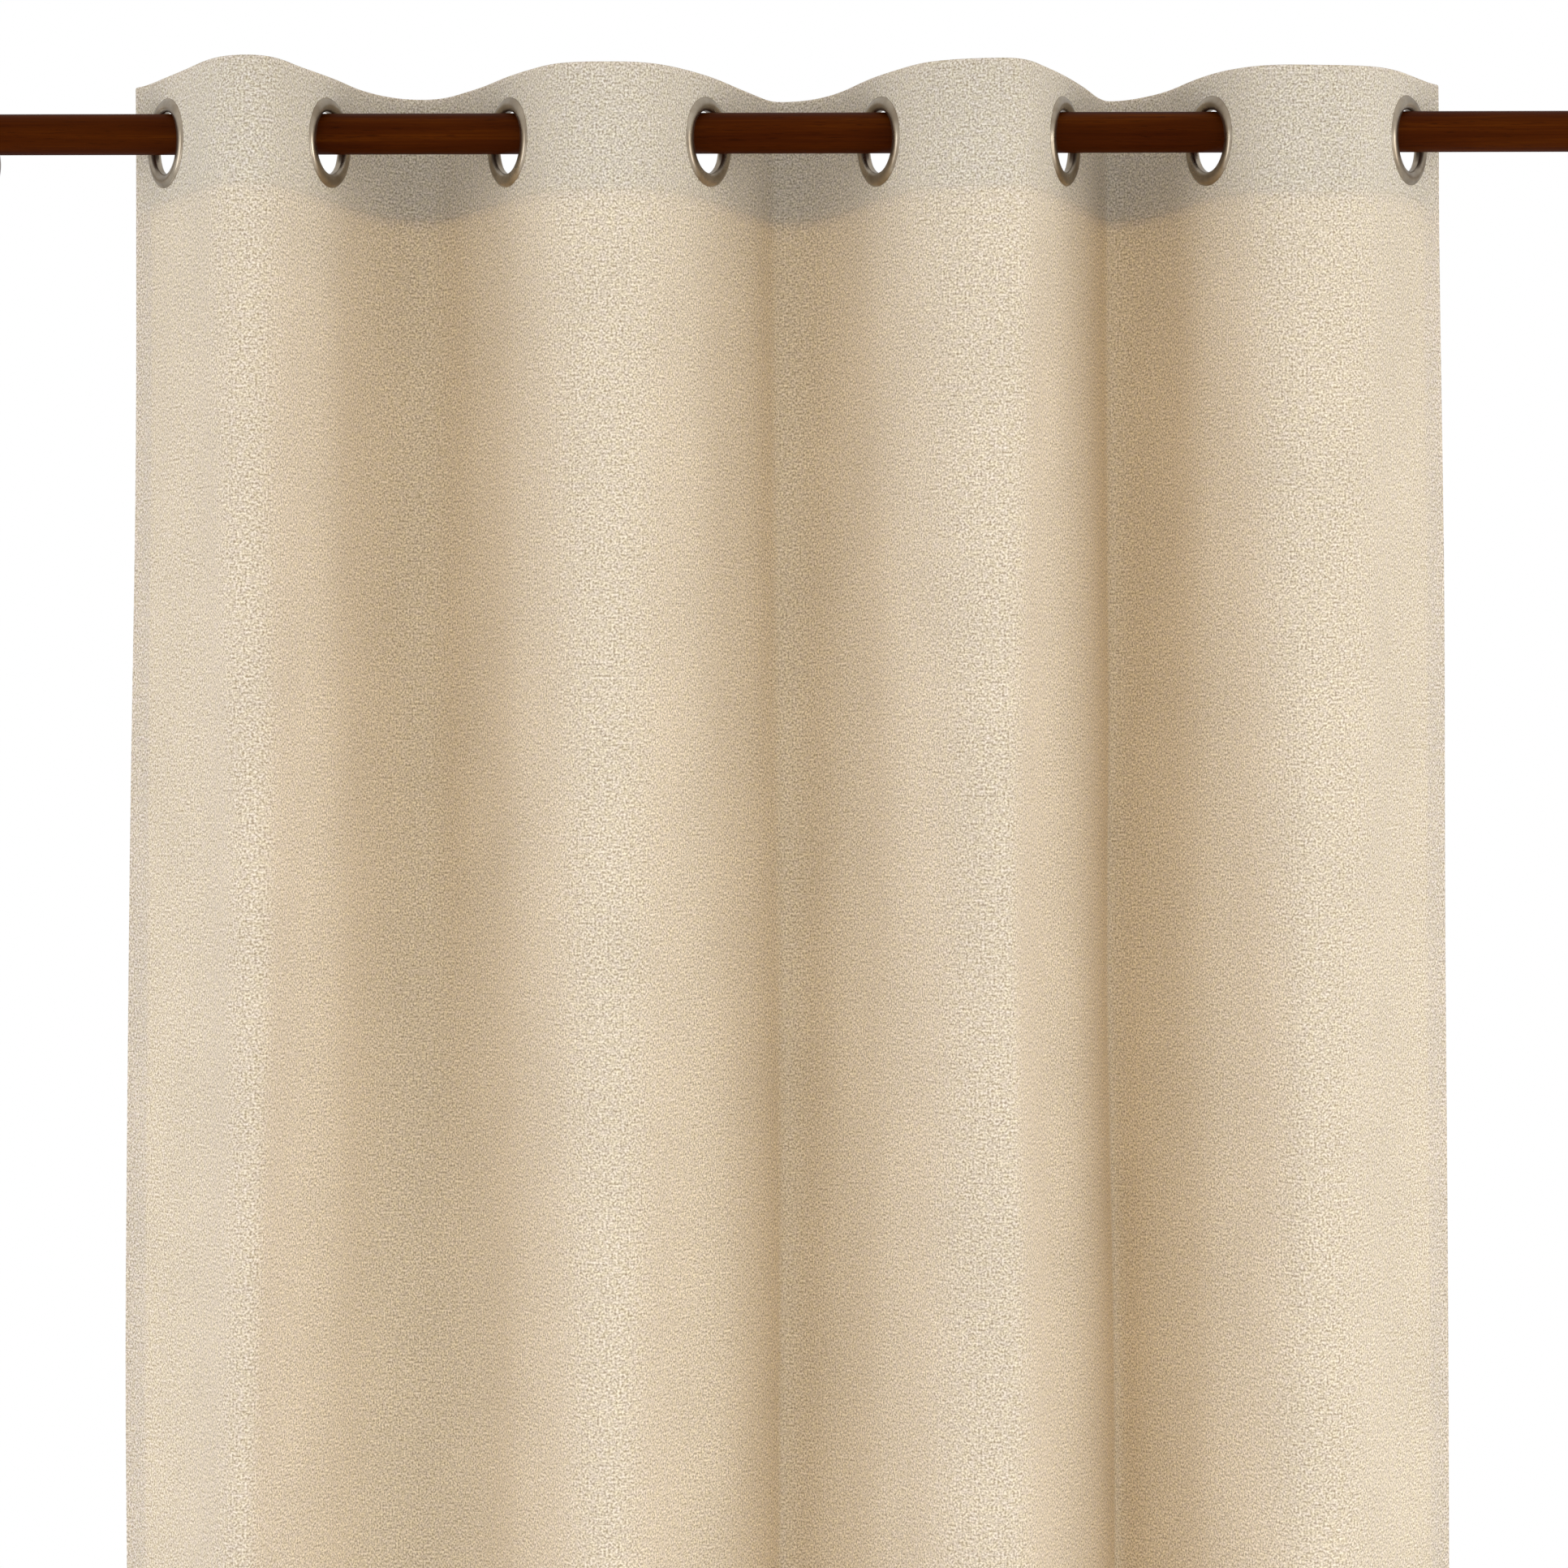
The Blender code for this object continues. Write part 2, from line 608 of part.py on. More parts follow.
def across_rod(x):
    """Place for an outline drawn in (Y, Z) about the rod's axis and extruded along X."""
    turn = Matrix(((0, 0, 1, 0), (1, 0, 0, 0), (0, 1, 0, 0), (0, 0, 0, 1)))
    return Matrix.Translation((x, ROD_Y, 0)) @ turn


def make_cup(x, name, parts, cutters, nickel):
    """Open cup that the rod drops into, with a boss for the thumb screw on its front."""
    cup = extruded_outline(f"rod_cup_{name}", cup_outline(), CUP_WIDTH)
    cup.matrix_world = across_rod(x)
    boss = cylinder_object(f"cup_boss_shape_{name}", BOSS_RADIUS, BOSS_LENGTH + CUP_WALL / 2, TURN_STEPS)
    boss_y = ROD_Y - CUP_OUTER_RADIUS - BOSS_LENGTH / 2 + CUP_WALL / 4
    place(boss, (x, boss_y, 0), (0, 1, 0))
    combine(cup, make_cutter(boss, cutters), "UNION")
    thread = cylinder_object(f"thumb_screw_hole_cutter_{name}", THUMB_SCREW_RADIUS + FIT_GAP,
                             4 * (BOSS_LENGTH + CUP_WALL), SCREW_STEPS)
    place(thread, (x, ROD_Y - CUP_OUTER_RADIUS, 0), (0, 1, 0))
    combine(cup, make_cutter(thread, cutters), "DIFFERENCE")
    bolt = turned_object(f"cup_bolt_hole_cutter_{name}", countersunk_profile(
        CUP_BOLT_HEAD_RADIUS, CUP_BOLT_RADIUS, CUP_BOLT_LENGTH, FIT_GAP), SCREW_STEPS)
    place(bolt, (x, ROD_Y + CUP_BORE_RADIUS, 0), (0, -1, 0))
    combine(cup, make_cutter(bolt, cutters), "DIFFERENCE")
    finish_piece(cup, parts, nickel)
    return cup


def make_bracket_screws(x, name, parts, steel):
    """The wall screws, the arm's bolt and the cup's bolt of one bracket."""
    layout = [
        (f"arm_bolt_{name}", ARM_BOLT_HEAD_RADIUS, ARM_BOLT_RADIUS, ARM_BOLT_LENGTH, 0.0,
         (x, 0, 0), (0, 1, 0)),
        (f"cup_bolt_{name}", CUP_BOLT_HEAD_RADIUS, CUP_BOLT_RADIUS, CUP_BOLT_LENGTH, 0.0,
         (x, ROD_Y + CUP_BORE_RADIUS + FIT_GAP, 0), (0, -1, 0)),
    ]
    for sign, place_name in ((1, "top"), (-1, "bottom")):
        layout.append((f"wall_screw_{name}_{place_name}", WALL_SCREW_HEAD_RADIUS, WALL_SCREW_RADIUS,
                       WALL_SCREW_LENGTH, 3 * WALL_SCREW_RADIUS,
                       (x, -PLATE_THICKNESS, sign * PLATE_SCREW_SPACING / 2), (0, -1, 0)))
    for node, head, radius, length, point, where, facing in layout:
        screw = turned_object(node, countersunk_profile(head, radius, length, 0.0, point), SCREW_STEPS)
        place(screw, where, facing)
        finish_piece(screw, parts, steel)


def make_thumb_screw(x, name, parts, nickel):
    """Screw through the cup's front that keeps the rod from turning or lifting."""
    head_start = CUP_WALL + BOSS_LENGTH + HEAD_GAP
    top = head_start + THUMB_HEAD_LENGTH
    chamfer = THUMB_HEAD_LENGTH / 8
    profile = [(0, top), (THUMB_HEAD_RADIUS - chamfer, top), (THUMB_HEAD_RADIUS, top - chamfer),
               (THUMB_HEAD_RADIUS, head_start + chamfer), (THUMB_HEAD_RADIUS - chamfer, head_start),
               (THUMB_SCREW_RADIUS, head_start), (THUMB_SCREW_RADIUS, FIT_GAP), (0, FIT_GAP)]
    screw = turned_object(f"thumb_screw_{name}", profile, TURN_STEPS)
    place(screw, (x, ROD_Y - CUP_BORE_RADIUS + FIT_GAP, 0), (0, -1, 0))
    finish_piece(screw, parts, nickel)
    return screw


# --- Moving groups -----------------------------------------------------------------

def add_axis(name, point, parts):
    """An empty on a joint's axis that carries the pieces that move about it."""
    empty = bpy.data.objects.new(name, None)
    empty.empty_display_size = 0.02
    empty.location = point
    empty["axis_point"] = tuple(point)
    parts.objects.link(empty)
    return empty


def carry(empty, pieces):
    """Hang pieces on an empty without moving them."""
    for piece in pieces:
        piece.parent = empty
        piece.matrix_parent_inverse = Matrix.Translation(-Vector(empty["axis_point"]))


def make_curtain(plan, parts, cutters, rod_axis, finishes):
    """All the panels with their tape and eyelets, each hinged to the one before it."""
    parent = rod_axis
    for index in range(EYELET_COUNT):
        if index == 0:
            pivot = (plan.eyelet_x[0], ROD_Y, 0)
        else:
            pivot = (*plan.at(plan.bend_at[index - 1])[0], 0)
        axis = add_axis(f"panel_{index + 1}_axis", pivot, parts)
        carry(parent, [axis])
        cutter = eyelet_hole_cutter(plan, index, cutters)
        pieces = make_panel(plan, index, parts, cutter, finishes["cloth"], finishes["tape"])
        pieces += make_eyelet(plan, index, parts, finishes["nickel"])
        carry(axis, pieces)
        parent = axis


def main():
    """Build the whole object."""
    clear_scene()
    parts = add_collection("eyelet_curtain_on_rod")
    cutters = add_collection("cutters")
    finishes = {
        "cloth": add_material("linen_look_cloth", CLOTH_COLOUR, 0.90, 0.0),
        "tape": add_material("heading_tape", TAPE_COLOUR, 0.85, 0.0),
        "wood": add_material("dark_stained_wood", WOOD_COLOUR, 0.35, 0.0),
        "nickel": add_material("satin_nickel", NICKEL_COLOUR, 0.35, 1.0),
        "steel": add_material("plated_steel", STEEL_COLOUR, 0.40, 1.0),
    }
    rod_axis = add_axis("rod_axis", (0, ROD_Y, 0), parts)
    rod_pieces = [make_rod(parts, cutters, finishes["wood"])]
    for side, name in ((-1, "left"), (1, "right")):
        x = side * BRACKET_X
        make_wall_plate(x, name, parts, cutters, finishes["nickel"])
        make_arm(x, name, parts, cutters, finishes["nickel"])
        make_cup(x, name, parts, cutters, finishes["nickel"])
        make_bracket_screws(x, name, parts, finishes["steel"])
        make_thumb_screw(x, name, parts, finishes["nickel"])
        rod_pieces += make_finial(side, name, parts, cutters, finishes["wood"], finishes["steel"])
    carry(rod_axis, rod_pieces)
    make_curtain(ClothPlan(), parts, cutters, rod_axis, finishes)


main()
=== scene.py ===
"""Looks of an eyelet curtain on a dark stained rod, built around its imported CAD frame.

Lengths are metres, +Z is up, X runs along the rod and -Y faces the room. Places
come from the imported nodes: the rod, the eyelets and the wall plates.
"""

import json
import logging
import math
from collections.abc import Callable, Sequence
from dataclasses import dataclass, field
from enum import Enum

import bmesh
import bpy
import numpy as np
from mathutils import Matrix, Vector

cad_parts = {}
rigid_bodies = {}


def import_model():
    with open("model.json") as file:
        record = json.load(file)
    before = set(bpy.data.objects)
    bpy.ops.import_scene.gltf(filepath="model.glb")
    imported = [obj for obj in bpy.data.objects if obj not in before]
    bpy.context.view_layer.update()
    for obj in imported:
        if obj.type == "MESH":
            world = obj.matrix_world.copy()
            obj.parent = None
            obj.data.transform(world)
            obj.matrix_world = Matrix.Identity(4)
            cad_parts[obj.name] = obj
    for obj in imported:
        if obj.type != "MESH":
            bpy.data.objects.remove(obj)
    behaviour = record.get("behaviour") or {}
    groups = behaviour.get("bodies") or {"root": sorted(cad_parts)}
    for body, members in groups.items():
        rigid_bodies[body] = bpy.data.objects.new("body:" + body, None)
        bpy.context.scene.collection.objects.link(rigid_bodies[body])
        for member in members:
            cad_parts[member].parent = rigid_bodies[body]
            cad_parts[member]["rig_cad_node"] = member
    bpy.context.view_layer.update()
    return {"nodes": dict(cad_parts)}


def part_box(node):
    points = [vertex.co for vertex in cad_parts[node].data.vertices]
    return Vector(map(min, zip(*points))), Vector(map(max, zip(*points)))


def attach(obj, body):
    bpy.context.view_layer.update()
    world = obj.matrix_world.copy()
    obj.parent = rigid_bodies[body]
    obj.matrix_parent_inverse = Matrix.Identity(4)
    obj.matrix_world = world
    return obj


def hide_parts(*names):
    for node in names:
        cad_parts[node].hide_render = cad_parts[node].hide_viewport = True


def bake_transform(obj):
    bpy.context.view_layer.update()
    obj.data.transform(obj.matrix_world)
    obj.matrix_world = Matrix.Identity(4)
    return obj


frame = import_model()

LOG = logging.getLogger("eyelet_curtain")
Profile = list[tuple[float, float]]
Colour = tuple[float, float, float]


class Side(Enum):
    """The two ends of the rod."""

    LEFT = -1
    RIGHT = 1

    @property
    def word(self) -> str:
        """Name used in nodes and pieces."""
        return self.name.lower()


class Slot(Enum):
    """The record's material slots."""

    CLOTH = "linen_look_cloth"
    TAPE = "heading_tape"
    WOOD = "stained_wood"
    NICKEL = "satin_nickel"
    STEEL = "plated_steel"


class Blend(Enum):
    """How one colour is laid over another."""

    MIX = "MIX"
    MULTIPLY = "MULTIPLY"


# --- Shader board -------------------------------------------------------------------

class ShaderBoard:
    """A material's node tree with short ways to add the nodes that the finishes use."""

    def __init__(self, name: str) -> None:
        """Start an empty material.

        Args:
            name: the material's name.
        """
        self.material = bpy.data.materials.new(name)
        self.material.use_nodes = True
        self.nodes = self.material.node_tree.nodes
        self.links = self.material.node_tree.links
        self.nodes.clear()
        self.output = self.nodes.new("ShaderNodeOutputMaterial")

    def add(self, kind: str, inputs: dict | None = None, **properties: object) -> bpy.types.Node:
        """Add a node.

        Args:
            kind: node type without its ShaderNode prefix.
            inputs: socket name or index to a value or to a socket to link from.
            properties: the node's own settings.

        Returns:
            The new node.
        """
        node = self.nodes.new("ShaderNode" + kind)
        for key, value in properties.items():
            setattr(node, key, value)
        for key, value in (inputs or {}).items():
            if isinstance(value, bpy.types.NodeSocket):
                self.links.new(value, node.inputs[key])
            else:
                node.inputs[key].default_value = value
        return node

    def coordinates(self, source: str, scale: Sequence[float]) -> bpy.types.NodeSocket:
        """Texture coordinates stretched along each axis.

        Args:
            source: "Object" or "UV".
            scale: how far each axis is multiplied.

        Returns:
            The vector socket.
        """
        place = self.add("TexCoord").outputs[source]
        return self.add("Mapping", {"Vector": place, "Scale": tuple(scale)}).outputs["Vector"]

    def noise(self, vector: bpy.types.NodeSocket, scale: float, detail: float = 2.0,
              roughness: float = 0.5) -> bpy.types.NodeSocket:
        """A smooth random value between 0 and 1 at every point.

        Args:
            vector: where it is read.
            scale: features per unit of the vector.
            detail: number of finer layers.
            roughness: strength of the finer layers.

        Returns:
            The value socket.
        """
        settings = {"Vector": vector, "Scale": scale, "Detail": detail, "Roughness": roughness}
        return self.add("TexNoise", settings).outputs["Fac"]

    def ramp(self, factor: bpy.types.NodeSocket,
             stops: Sequence[tuple[float, Colour]]) -> bpy.types.NodeSocket:
        """Turn a value into a colour.

        Args:
            factor: the value.
            stops: place and colour of each stop, in order.

        Returns:
            The colour socket.
        """
        node = self.add("ValToRGB", {"Fac": factor})
        elements = node.color_ramp.elements
        while len(elements) < len(stops):
            elements.new(1.0)
        for element, (place, colour) in zip(elements, stops):
            element.position = place
            element.color = (*colour, 1.0)
        return node.outputs["Color"]

    def grey(self, factor: bpy.types.NodeSocket, low: float, high: float,
             dark: float = 0.0, light: float = 1.0) -> bpy.types.NodeSocket:
        """Stretch a value from low..high to dark..light, held at both ends.

        Args:
            factor: the value.
            low: value that becomes dark.
            high: value that becomes light.
            dark: result at low.
            light: result at high.

        Returns:
            The value socket.
        """
        node = self.add("MapRange", {"Value": factor, "From Min": low, "From Max": high,
                                     "To Min": dark, "To Max": light})
        return node.outputs["Result"]

    def mix(self, factor: bpy.types.NodeSocket | float, first: object, second: object,
            blend: Blend = Blend.MIX) -> bpy.types.NodeSocket:
        """Mix two colours.

        Args:
            factor: share of the second.
            first: colour or colour socket underneath.
            second: colour or colour socket on top.
            blend: how the second is laid over the first.

        Returns:
            The colour socket.
        """
        node = self.add("Mix", data_type="RGBA", blend_type=blend.value)
        for index, value in ((0, factor), (6, first), (7, second)):
            if isinstance(value, bpy.types.NodeSocket):
                self.links.new(value, node.inputs[index])
            else:
                node.inputs[index].default_value = value if index == 0 else (*value, 1.0)
        return node.outputs[2]

    def calculate(self, operation: str, first: object, second: object = 0.0) -> bpy.types.NodeSocket:
        """One step of arithmetic.

        Args:
            operation: name of the sum.
            first: value or socket.
            second: value or socket.

        Returns:
            The value socket.
        """
        return self.add("Math", {0: first, 1: second}, operation=operation).outputs[0]

    def bump(self, height: bpy.types.NodeSocket, distance: float,
             strength: float = 1.0) -> bpy.types.NodeSocket:
        """Surface relief from a height.

        Args:
            height: 0 at the lowest point and 1 at the highest.
            distance: real height of 1.
            strength: share of it that shows.

        Returns:
            The normal socket.
        """
        settings = {"Height": height, "Distance": distance, "Strength": strength}
        return self.add("Bump", settings).outputs["Normal"]

    def close(self, shader: bpy.types.NodeSocket) -> bpy.types.Material:
        """Join a shader to the output and hand the material over."""
        self.links.new(shader, self.output.inputs["Surface"])
        return self.material


# --- Finishes -----------------------------------------------------------------------

@dataclass(frozen=True)
class LinenLookCloth:
    """Pebbly linen-look weave that lets some warm light through."""

    slot: Slot = Slot.CLOTH
    dark: Colour = (0.392, 0.329, 0.243)
    middle: Colour = (0.695, 0.635, 0.521)
    light: Colour = (0.975, 0.936, 0.836)
    pit: Colour = (0.300, 0.235, 0.160)
    khaki: Colour = (1.010, 1.005, 0.950)
    rose: Colour = (0.995, 0.985, 1.020)
    through: Colour = (1.25, 0.74, 0.15)
    through_share: float = 0.20
    grain_per_metre: float = 800.0
    grain_height: float = 0.00030

    def build(self) -> bpy.types.Material:
        """Make the material; its UV map is in metres across and down the cloth."""
        board = ShaderBoard(self.slot.value + "_finish")
        cloth = board.coordinates("UV", (1.0, 0.90, 1.0))
        grain = board.noise(cloth, self.grain_per_metre, 1.5, 0.55)
        threads = board.noise(board.coordinates("UV", (0.10, 1.0, 1.0)), 1500.0, 1.0)
        slubs = board.noise(board.coordinates("UV", (0.07, 1.0, 1.0)), 620.0, 2.0)
        pebble = board.calculate("ADD", board.calculate("MULTIPLY", grain, 0.87),
                                 board.calculate("MULTIPLY", threads, 0.13))
        stops = ((0.34, self.dark), (0.50, self.middle), (0.66, self.light))
        colour = board.ramp(pebble, stops)
        blotch = board.grey(board.noise(cloth, 210.0, 2.0, 0.6), 0.35, 0.65)
        tint = board.mix(blotch, self.khaki, self.rose)
        colour = board.mix(1.0, colour, tint, Blend.MULTIPLY)
        patches = board.grey(board.noise(cloth, 14.0, 3.0, 0.6), 0.3, 0.7, 0.965, 1.03)
        colour = board.mix(1.0, colour, board.add("CombineColor", {0: patches, 1: patches, 2: patches}
                                                  ).outputs[0], Blend.MULTIPLY)
        pits = board.grey(board.noise(cloth, 1250.0, 1.0), 0.64, 0.72, 0.0, 0.55)
        colour = board.mix(pits, colour, self.pit)
        slub = board.grey(slubs, 0.66, 0.74, 0.0, 0.45)
        colour = board.mix(slub, colour, (0.90, 0.82, 0.69))
        relief = board.calculate("ADD", pebble, board.calculate("MULTIPLY", slub, 0.5))
        normal = board.bump(relief, self.grain_height)
        surface = board.add("BsdfPrincipled", {"Base Color": colour, "Normal": normal, "Roughness": 0.92,
                                               "Specular IOR Level": 0.12, "Sheen Weight": 0.10,
                                               "Sheen Roughness": 0.45})
        glow = board.mix(1.0, colour, self.through, Blend.MULTIPLY)
        lit_through = board.add("BsdfTranslucent", {"Color": glow, "Normal": normal})
        both = board.add("MixShader", {0: self.through_share, 1: surface.outputs[0],
                                       2: lit_through.outputs[0]})
        return board.close(both.outputs[0])


@dataclass(frozen=True)
class SewingThread:
    """Twisted thread, a shade lighter than the cloth."""

    slot: Slot = Slot.CLOTH
    dark: Colour = (0.46, 0.37, 0.26)
    light: Colour = (0.74, 0.65, 0.51)

    def build(self) -> bpy.types.Material:
        """Make the material."""
        board = ShaderBoard("sewing_thread_finish")
        twist = board.noise(board.coordinates("Object", (1.0, 1.0, 1.0)), 2400.0, 1.0)
        colour = board.ramp(twist, ((0.35, self.dark), (0.65, self.light)))
        surface = board.add("BsdfPrincipled", {"Base Color": colour, "Roughness": 0.75,
                                               "Normal": board.bump(twist, 0.0001),
                                               "Specular IOR Level": 0.25})
        return board.close(surface.outputs[0])


@dataclass(frozen=True)
class HeadingTapeFinish:
    """Stiff bonded tape inside the header."""

    slot: Slot = Slot.TAPE
    dark: Colour = (0.34, 0.26, 0.17)
    light: Colour = (0.50, 0.40, 0.28)

    def build(self) -> bpy.types.Material:
        """Make the material."""
        board = ShaderBoard(self.slot.value + "_finish")
        fibres = board.noise(board.coordinates("UV", (0.35, 1.0, 1.0)), 700.0, 4.0, 0.7)
        colour = board.ramp(fibres, ((0.3, self.dark), (0.7, self.light)))
        surface = board.add("BsdfPrincipled", {"Base Color": colour, "Roughness": 0.9,
                                               "Normal": board.bump(fibres, 0.0001),
                                               "Specular IOR Level": 0.2})
        return board.close(surface.outputs[0])


@dataclass(frozen=True)
class StainedWood:
    """Dark red-brown stain over straight grain, under a thin satin varnish."""

    slot: Slot = Slot.WOOD
    pore: Colour = (0.020, 0.0034, 0.0002)
    deep: Colour = (0.036, 0.0056, 0.0002)
    warm: Colour = (0.054, 0.0098, 0.0003)
    streak: Colour = (0.094, 0.0215, 0.0008)

    def build(self) -> bpy.types.Material:
        """Make the material; the grain runs along X."""
        board = ShaderBoard(self.slot.value + "_finish")
        along = board.coordinates("Object", (0.030, 1.0, 1.0))
        bands = board.noise(along, 120.0, 3.0, 0.55)
        fine = board.noise(board.coordinates("Object", (0.022, 1.0, 1.0)), 900.0, 3.0, 0.6)
        pores = board.noise(board.coordinates("Object", (0.05, 1.0, 1.0)), 1700.0, 1.0)
        figure = board.calculate("ADD", board.calculate("MULTIPLY", bands, 0.62),
                                 board.calculate("MULTIPLY", fine, 0.38))
        colour = board.ramp(figure, ((0.34, self.deep), (0.52, self.warm), (0.68, self.streak)))
        open_pore = board.grey(pores, 0.63, 0.72, 0.0, 0.75)
        colour = board.mix(open_pore, colour, self.pore)
        worn = board.grey(board.noise(board.coordinates("Object", (1.0, 1.0, 1.0)), 9.0, 2.0),
                          0.45, 0.75, 0.0, 0.22)
        colour = board.mix(worn, colour, self.streak)
        height = board.calculate("SUBTRACT", figure, board.calculate("MULTIPLY", open_pore, 0.8))
        roughness = board.grey(fine, 0.3, 0.7, 0.34, 0.52)
        surface = board.add("BsdfPrincipled", {"Base Color": colour, "Roughness": roughness,
                                               "Normal": board.bump(height, 0.00008),
                                               "Specular IOR Level": 0.020})
        return board.close(surface.outputs[0])


@dataclass(frozen=True)
class SatinNickel:
    """Warm satin nickel plating with a fine speckled bump and a little rubbing."""

    slot: Slot = Slot.NICKEL
    dull: Colour = (0.265, 0.210, 0.150)
    clean: Colour = (0.455, 0.390, 0.305)
    lines: Sequence[float] = (1.0, 1.0, 1.0)

    def build(self) -> bpy.types.Material:
        """Make the material."""
        board = ShaderBoard(self.slot.value + "_finish")
        place = board.coordinates("Object", self.lines)
        cloud = board.noise(place, 55.0, 3.0, 0.6)
        speck = board.noise(place, 2600.0, 2.0)
        colour = board.ramp(cloud, ((0.32, self.dull), (0.66, self.clean)))
        roughness = board.grey(cloud, 0.3, 0.7, 0.36, 0.24)
        surface = board.add("BsdfPrincipled", {"Base Color": colour, "Metallic": 1.0,
                                               "Roughness": roughness,
                                               "Normal": board.bump(speck, 0.000012)})
        return board.close(surface.outputs[0])


@dataclass(frozen=True)
class PlatedSteel:
    """Bright zinc plating of the screws, with darker patches in it."""

    slot: Slot = Slot.STEEL
    dull: Colour = (0.36, 0.36, 0.35)
    clean: Colour = (0.60, 0.60, 0.58)

    def build(self) -> bpy.types.Material:
        """Make the material."""
        board = ShaderBoard(self.slot.value + "_finish")
        place = board.coordinates("Object", (1.0, 1.0, 1.0))
        cloud = board.noise(place, 160.0, 3.0, 0.65)
        colour = board.ramp(cloud, ((0.35, self.dull), (0.65, self.clean)))
        surface = board.add("BsdfPrincipled", {"Base Color": colour, "Metallic": 1.0,
                                               "Roughness": board.grey(cloud, 0.3, 0.7, 0.45, 0.28),
                                               "Normal": board.bump(cloud, 0.00002)})
        return board.close(surface.outputs[0])


@dataclass(frozen=True)
class PaleFloor:
    """Plain pale studio floor."""

    colour: Colour = (0.86, 0.855, 0.845)

    def build(self) -> bpy.types.Material:
        """Make the material."""
        board = ShaderBoard("pale_floor_finish")
        cloud = board.noise(board.coordinates("Object", (1.0, 1.0, 1.0)), 3.0, 3.0)
        shade = tuple(0.97 * part for part in self.colour)
        colour = board.ramp(cloud, ((0.3, shade), (0.7, self.colour)))
        surface = board.add("BsdfPrincipled", {"Base Color": colour, "Roughness": 0.7})
        return board.close(surface.outputs[0])


# --- Mesh helpers -------------------------------------------------------------------

def add_piece(name: str, points: np.ndarray | Sequence, faces: Sequence[Sequence[int]],
              sharp_degrees: float = 40.0) -> bpy.types.Object:
    """Make an object from points and faces, shaded smooth.

    Args:
        name: the piece's name.
        points: its vertices.
        faces: its faces as vertex numbers.
        sharp_degrees: edges that turn more than this stay sharp.

    Returns:
        The linked object.
    """
    mesh = bpy.data.meshes.new(name)
    mesh.from_pydata([tuple(map(float, point)) for point in points], [], faces)
    piece = bpy.data.objects.new(name, mesh)
    bpy.context.scene.collection.objects.link(piece)
    tidy_mesh(piece, sharp_degrees)
    return piece


def tidy_mesh(piece: bpy.types.Object, sharp_degrees: float) -> None:
    """Merge doubled vertices, turn the normals outwards and shade smooth.

    Args:
        piece: the object.
        sharp_degrees: edges that turn more than this stay sharp.
    """
    body = bmesh.new()
    body.from_mesh(piece.data)
    bmesh.ops.remove_doubles(body, verts=body.verts, dist=0.000001)
    bmesh.ops.recalc_face_normals(body, faces=body.faces)
    body.to_mesh(piece.data)
    body.free()
    piece.data.shade_smooth()
    piece.data.set_sharp_from_angle(angle=math.radians(sharp_degrees))


def facing(point: Sequence[float], direction: Sequence[float]) -> Matrix:
    """Place of a turned piece whose own +Z points along a direction."""
    turn = Vector((0, 0, 1)).rotation_difference(Vector(direction)).to_matrix().to_4x4()
    return Matrix.Translation(Vector(point)) @ turn


def turned_piece(name: str, profile: Profile, place: Matrix, steps: int = 96, ring: bool = False,
                 relief: Callable[[np.ndarray, np.ndarray, np.ndarray], np.ndarray] | None = None,
                 ) -> bpy.types.Object:
    """Turn a (radius, height) profile about its own Z.

    Args:
        name: the piece's name.
        profile: points along the outline.
        place: where it goes.
        steps: facets round it.
        ring: join the profile's ends.
        relief: new radius from (radius, height, angle).

    Returns:
        The object, with its place in its mesh.
    """
    count = len(profile)
    angles = np.linspace(0.0, math.tau, steps, endpoint=False)
    radius, angle = np.meshgrid([point[0] for point in profile], angles)
    height = np.meshgrid([point[1] for point in profile], angles)[0]
    if relief is not None:
        radius = relief(radius, height, angle)
    points = np.stack((radius * np.cos(angle), radius * np.sin(angle), height), axis=-1).reshape(-1, 3)
    faces = []
    for step in range(steps):
        here, there = step * count, (step + 1) % steps * count
        for index in range(count if ring else count - 1):
            after = (index + 1) % count
            faces.append((here + index, there + index, there + after, here + after))
    piece = add_piece(name, points, faces)
    piece.data.transform(place)
    return piece


def arc(centre: tuple[float, float], radius: float, start: float, end: float, steps: int = 8,
        rise: float | None = None) -> Profile:
    """Points along an arc in degrees, both ends included.

    Args:
        centre: (radius, height) of its centre.
        radius: its size across.
        start: first angle.
        end: last angle.
        steps: number of steps.
        rise: its size in height, where it differs.

    Returns:
        The points.
    """
    angles = np.radians(np.linspace(start, end, steps + 1))
    rise = radius if rise is None else rise
    return [(centre[0] + radius * math.cos(a), centre[1] + rise * math.sin(a)) for a in angles]


def outline_piece(name: str, outline: Profile, width: float, place: Matrix) -> bpy.types.Object:
    """Solid of a flat outline, given a width along its own Z.

    Args:
        name: the piece's name.
        outline: corners in order.
        width: its full width.
        place: where it goes.

    Returns:
        The object, with its place in its mesh.
    """
    count = len(outline)
    points = [(x, y, z) for z in (-width / 2, width / 2) for x, y in outline]
    faces = [tuple(range(count))[::-1], tuple(range(count, 2 * count))]
    for index in range(count):
        after = (index + 1) % count
        faces.append((index, after, count + after, count + index))
    piece = add_piece(name, points, faces)
    piece.data.transform(place)
    return piece


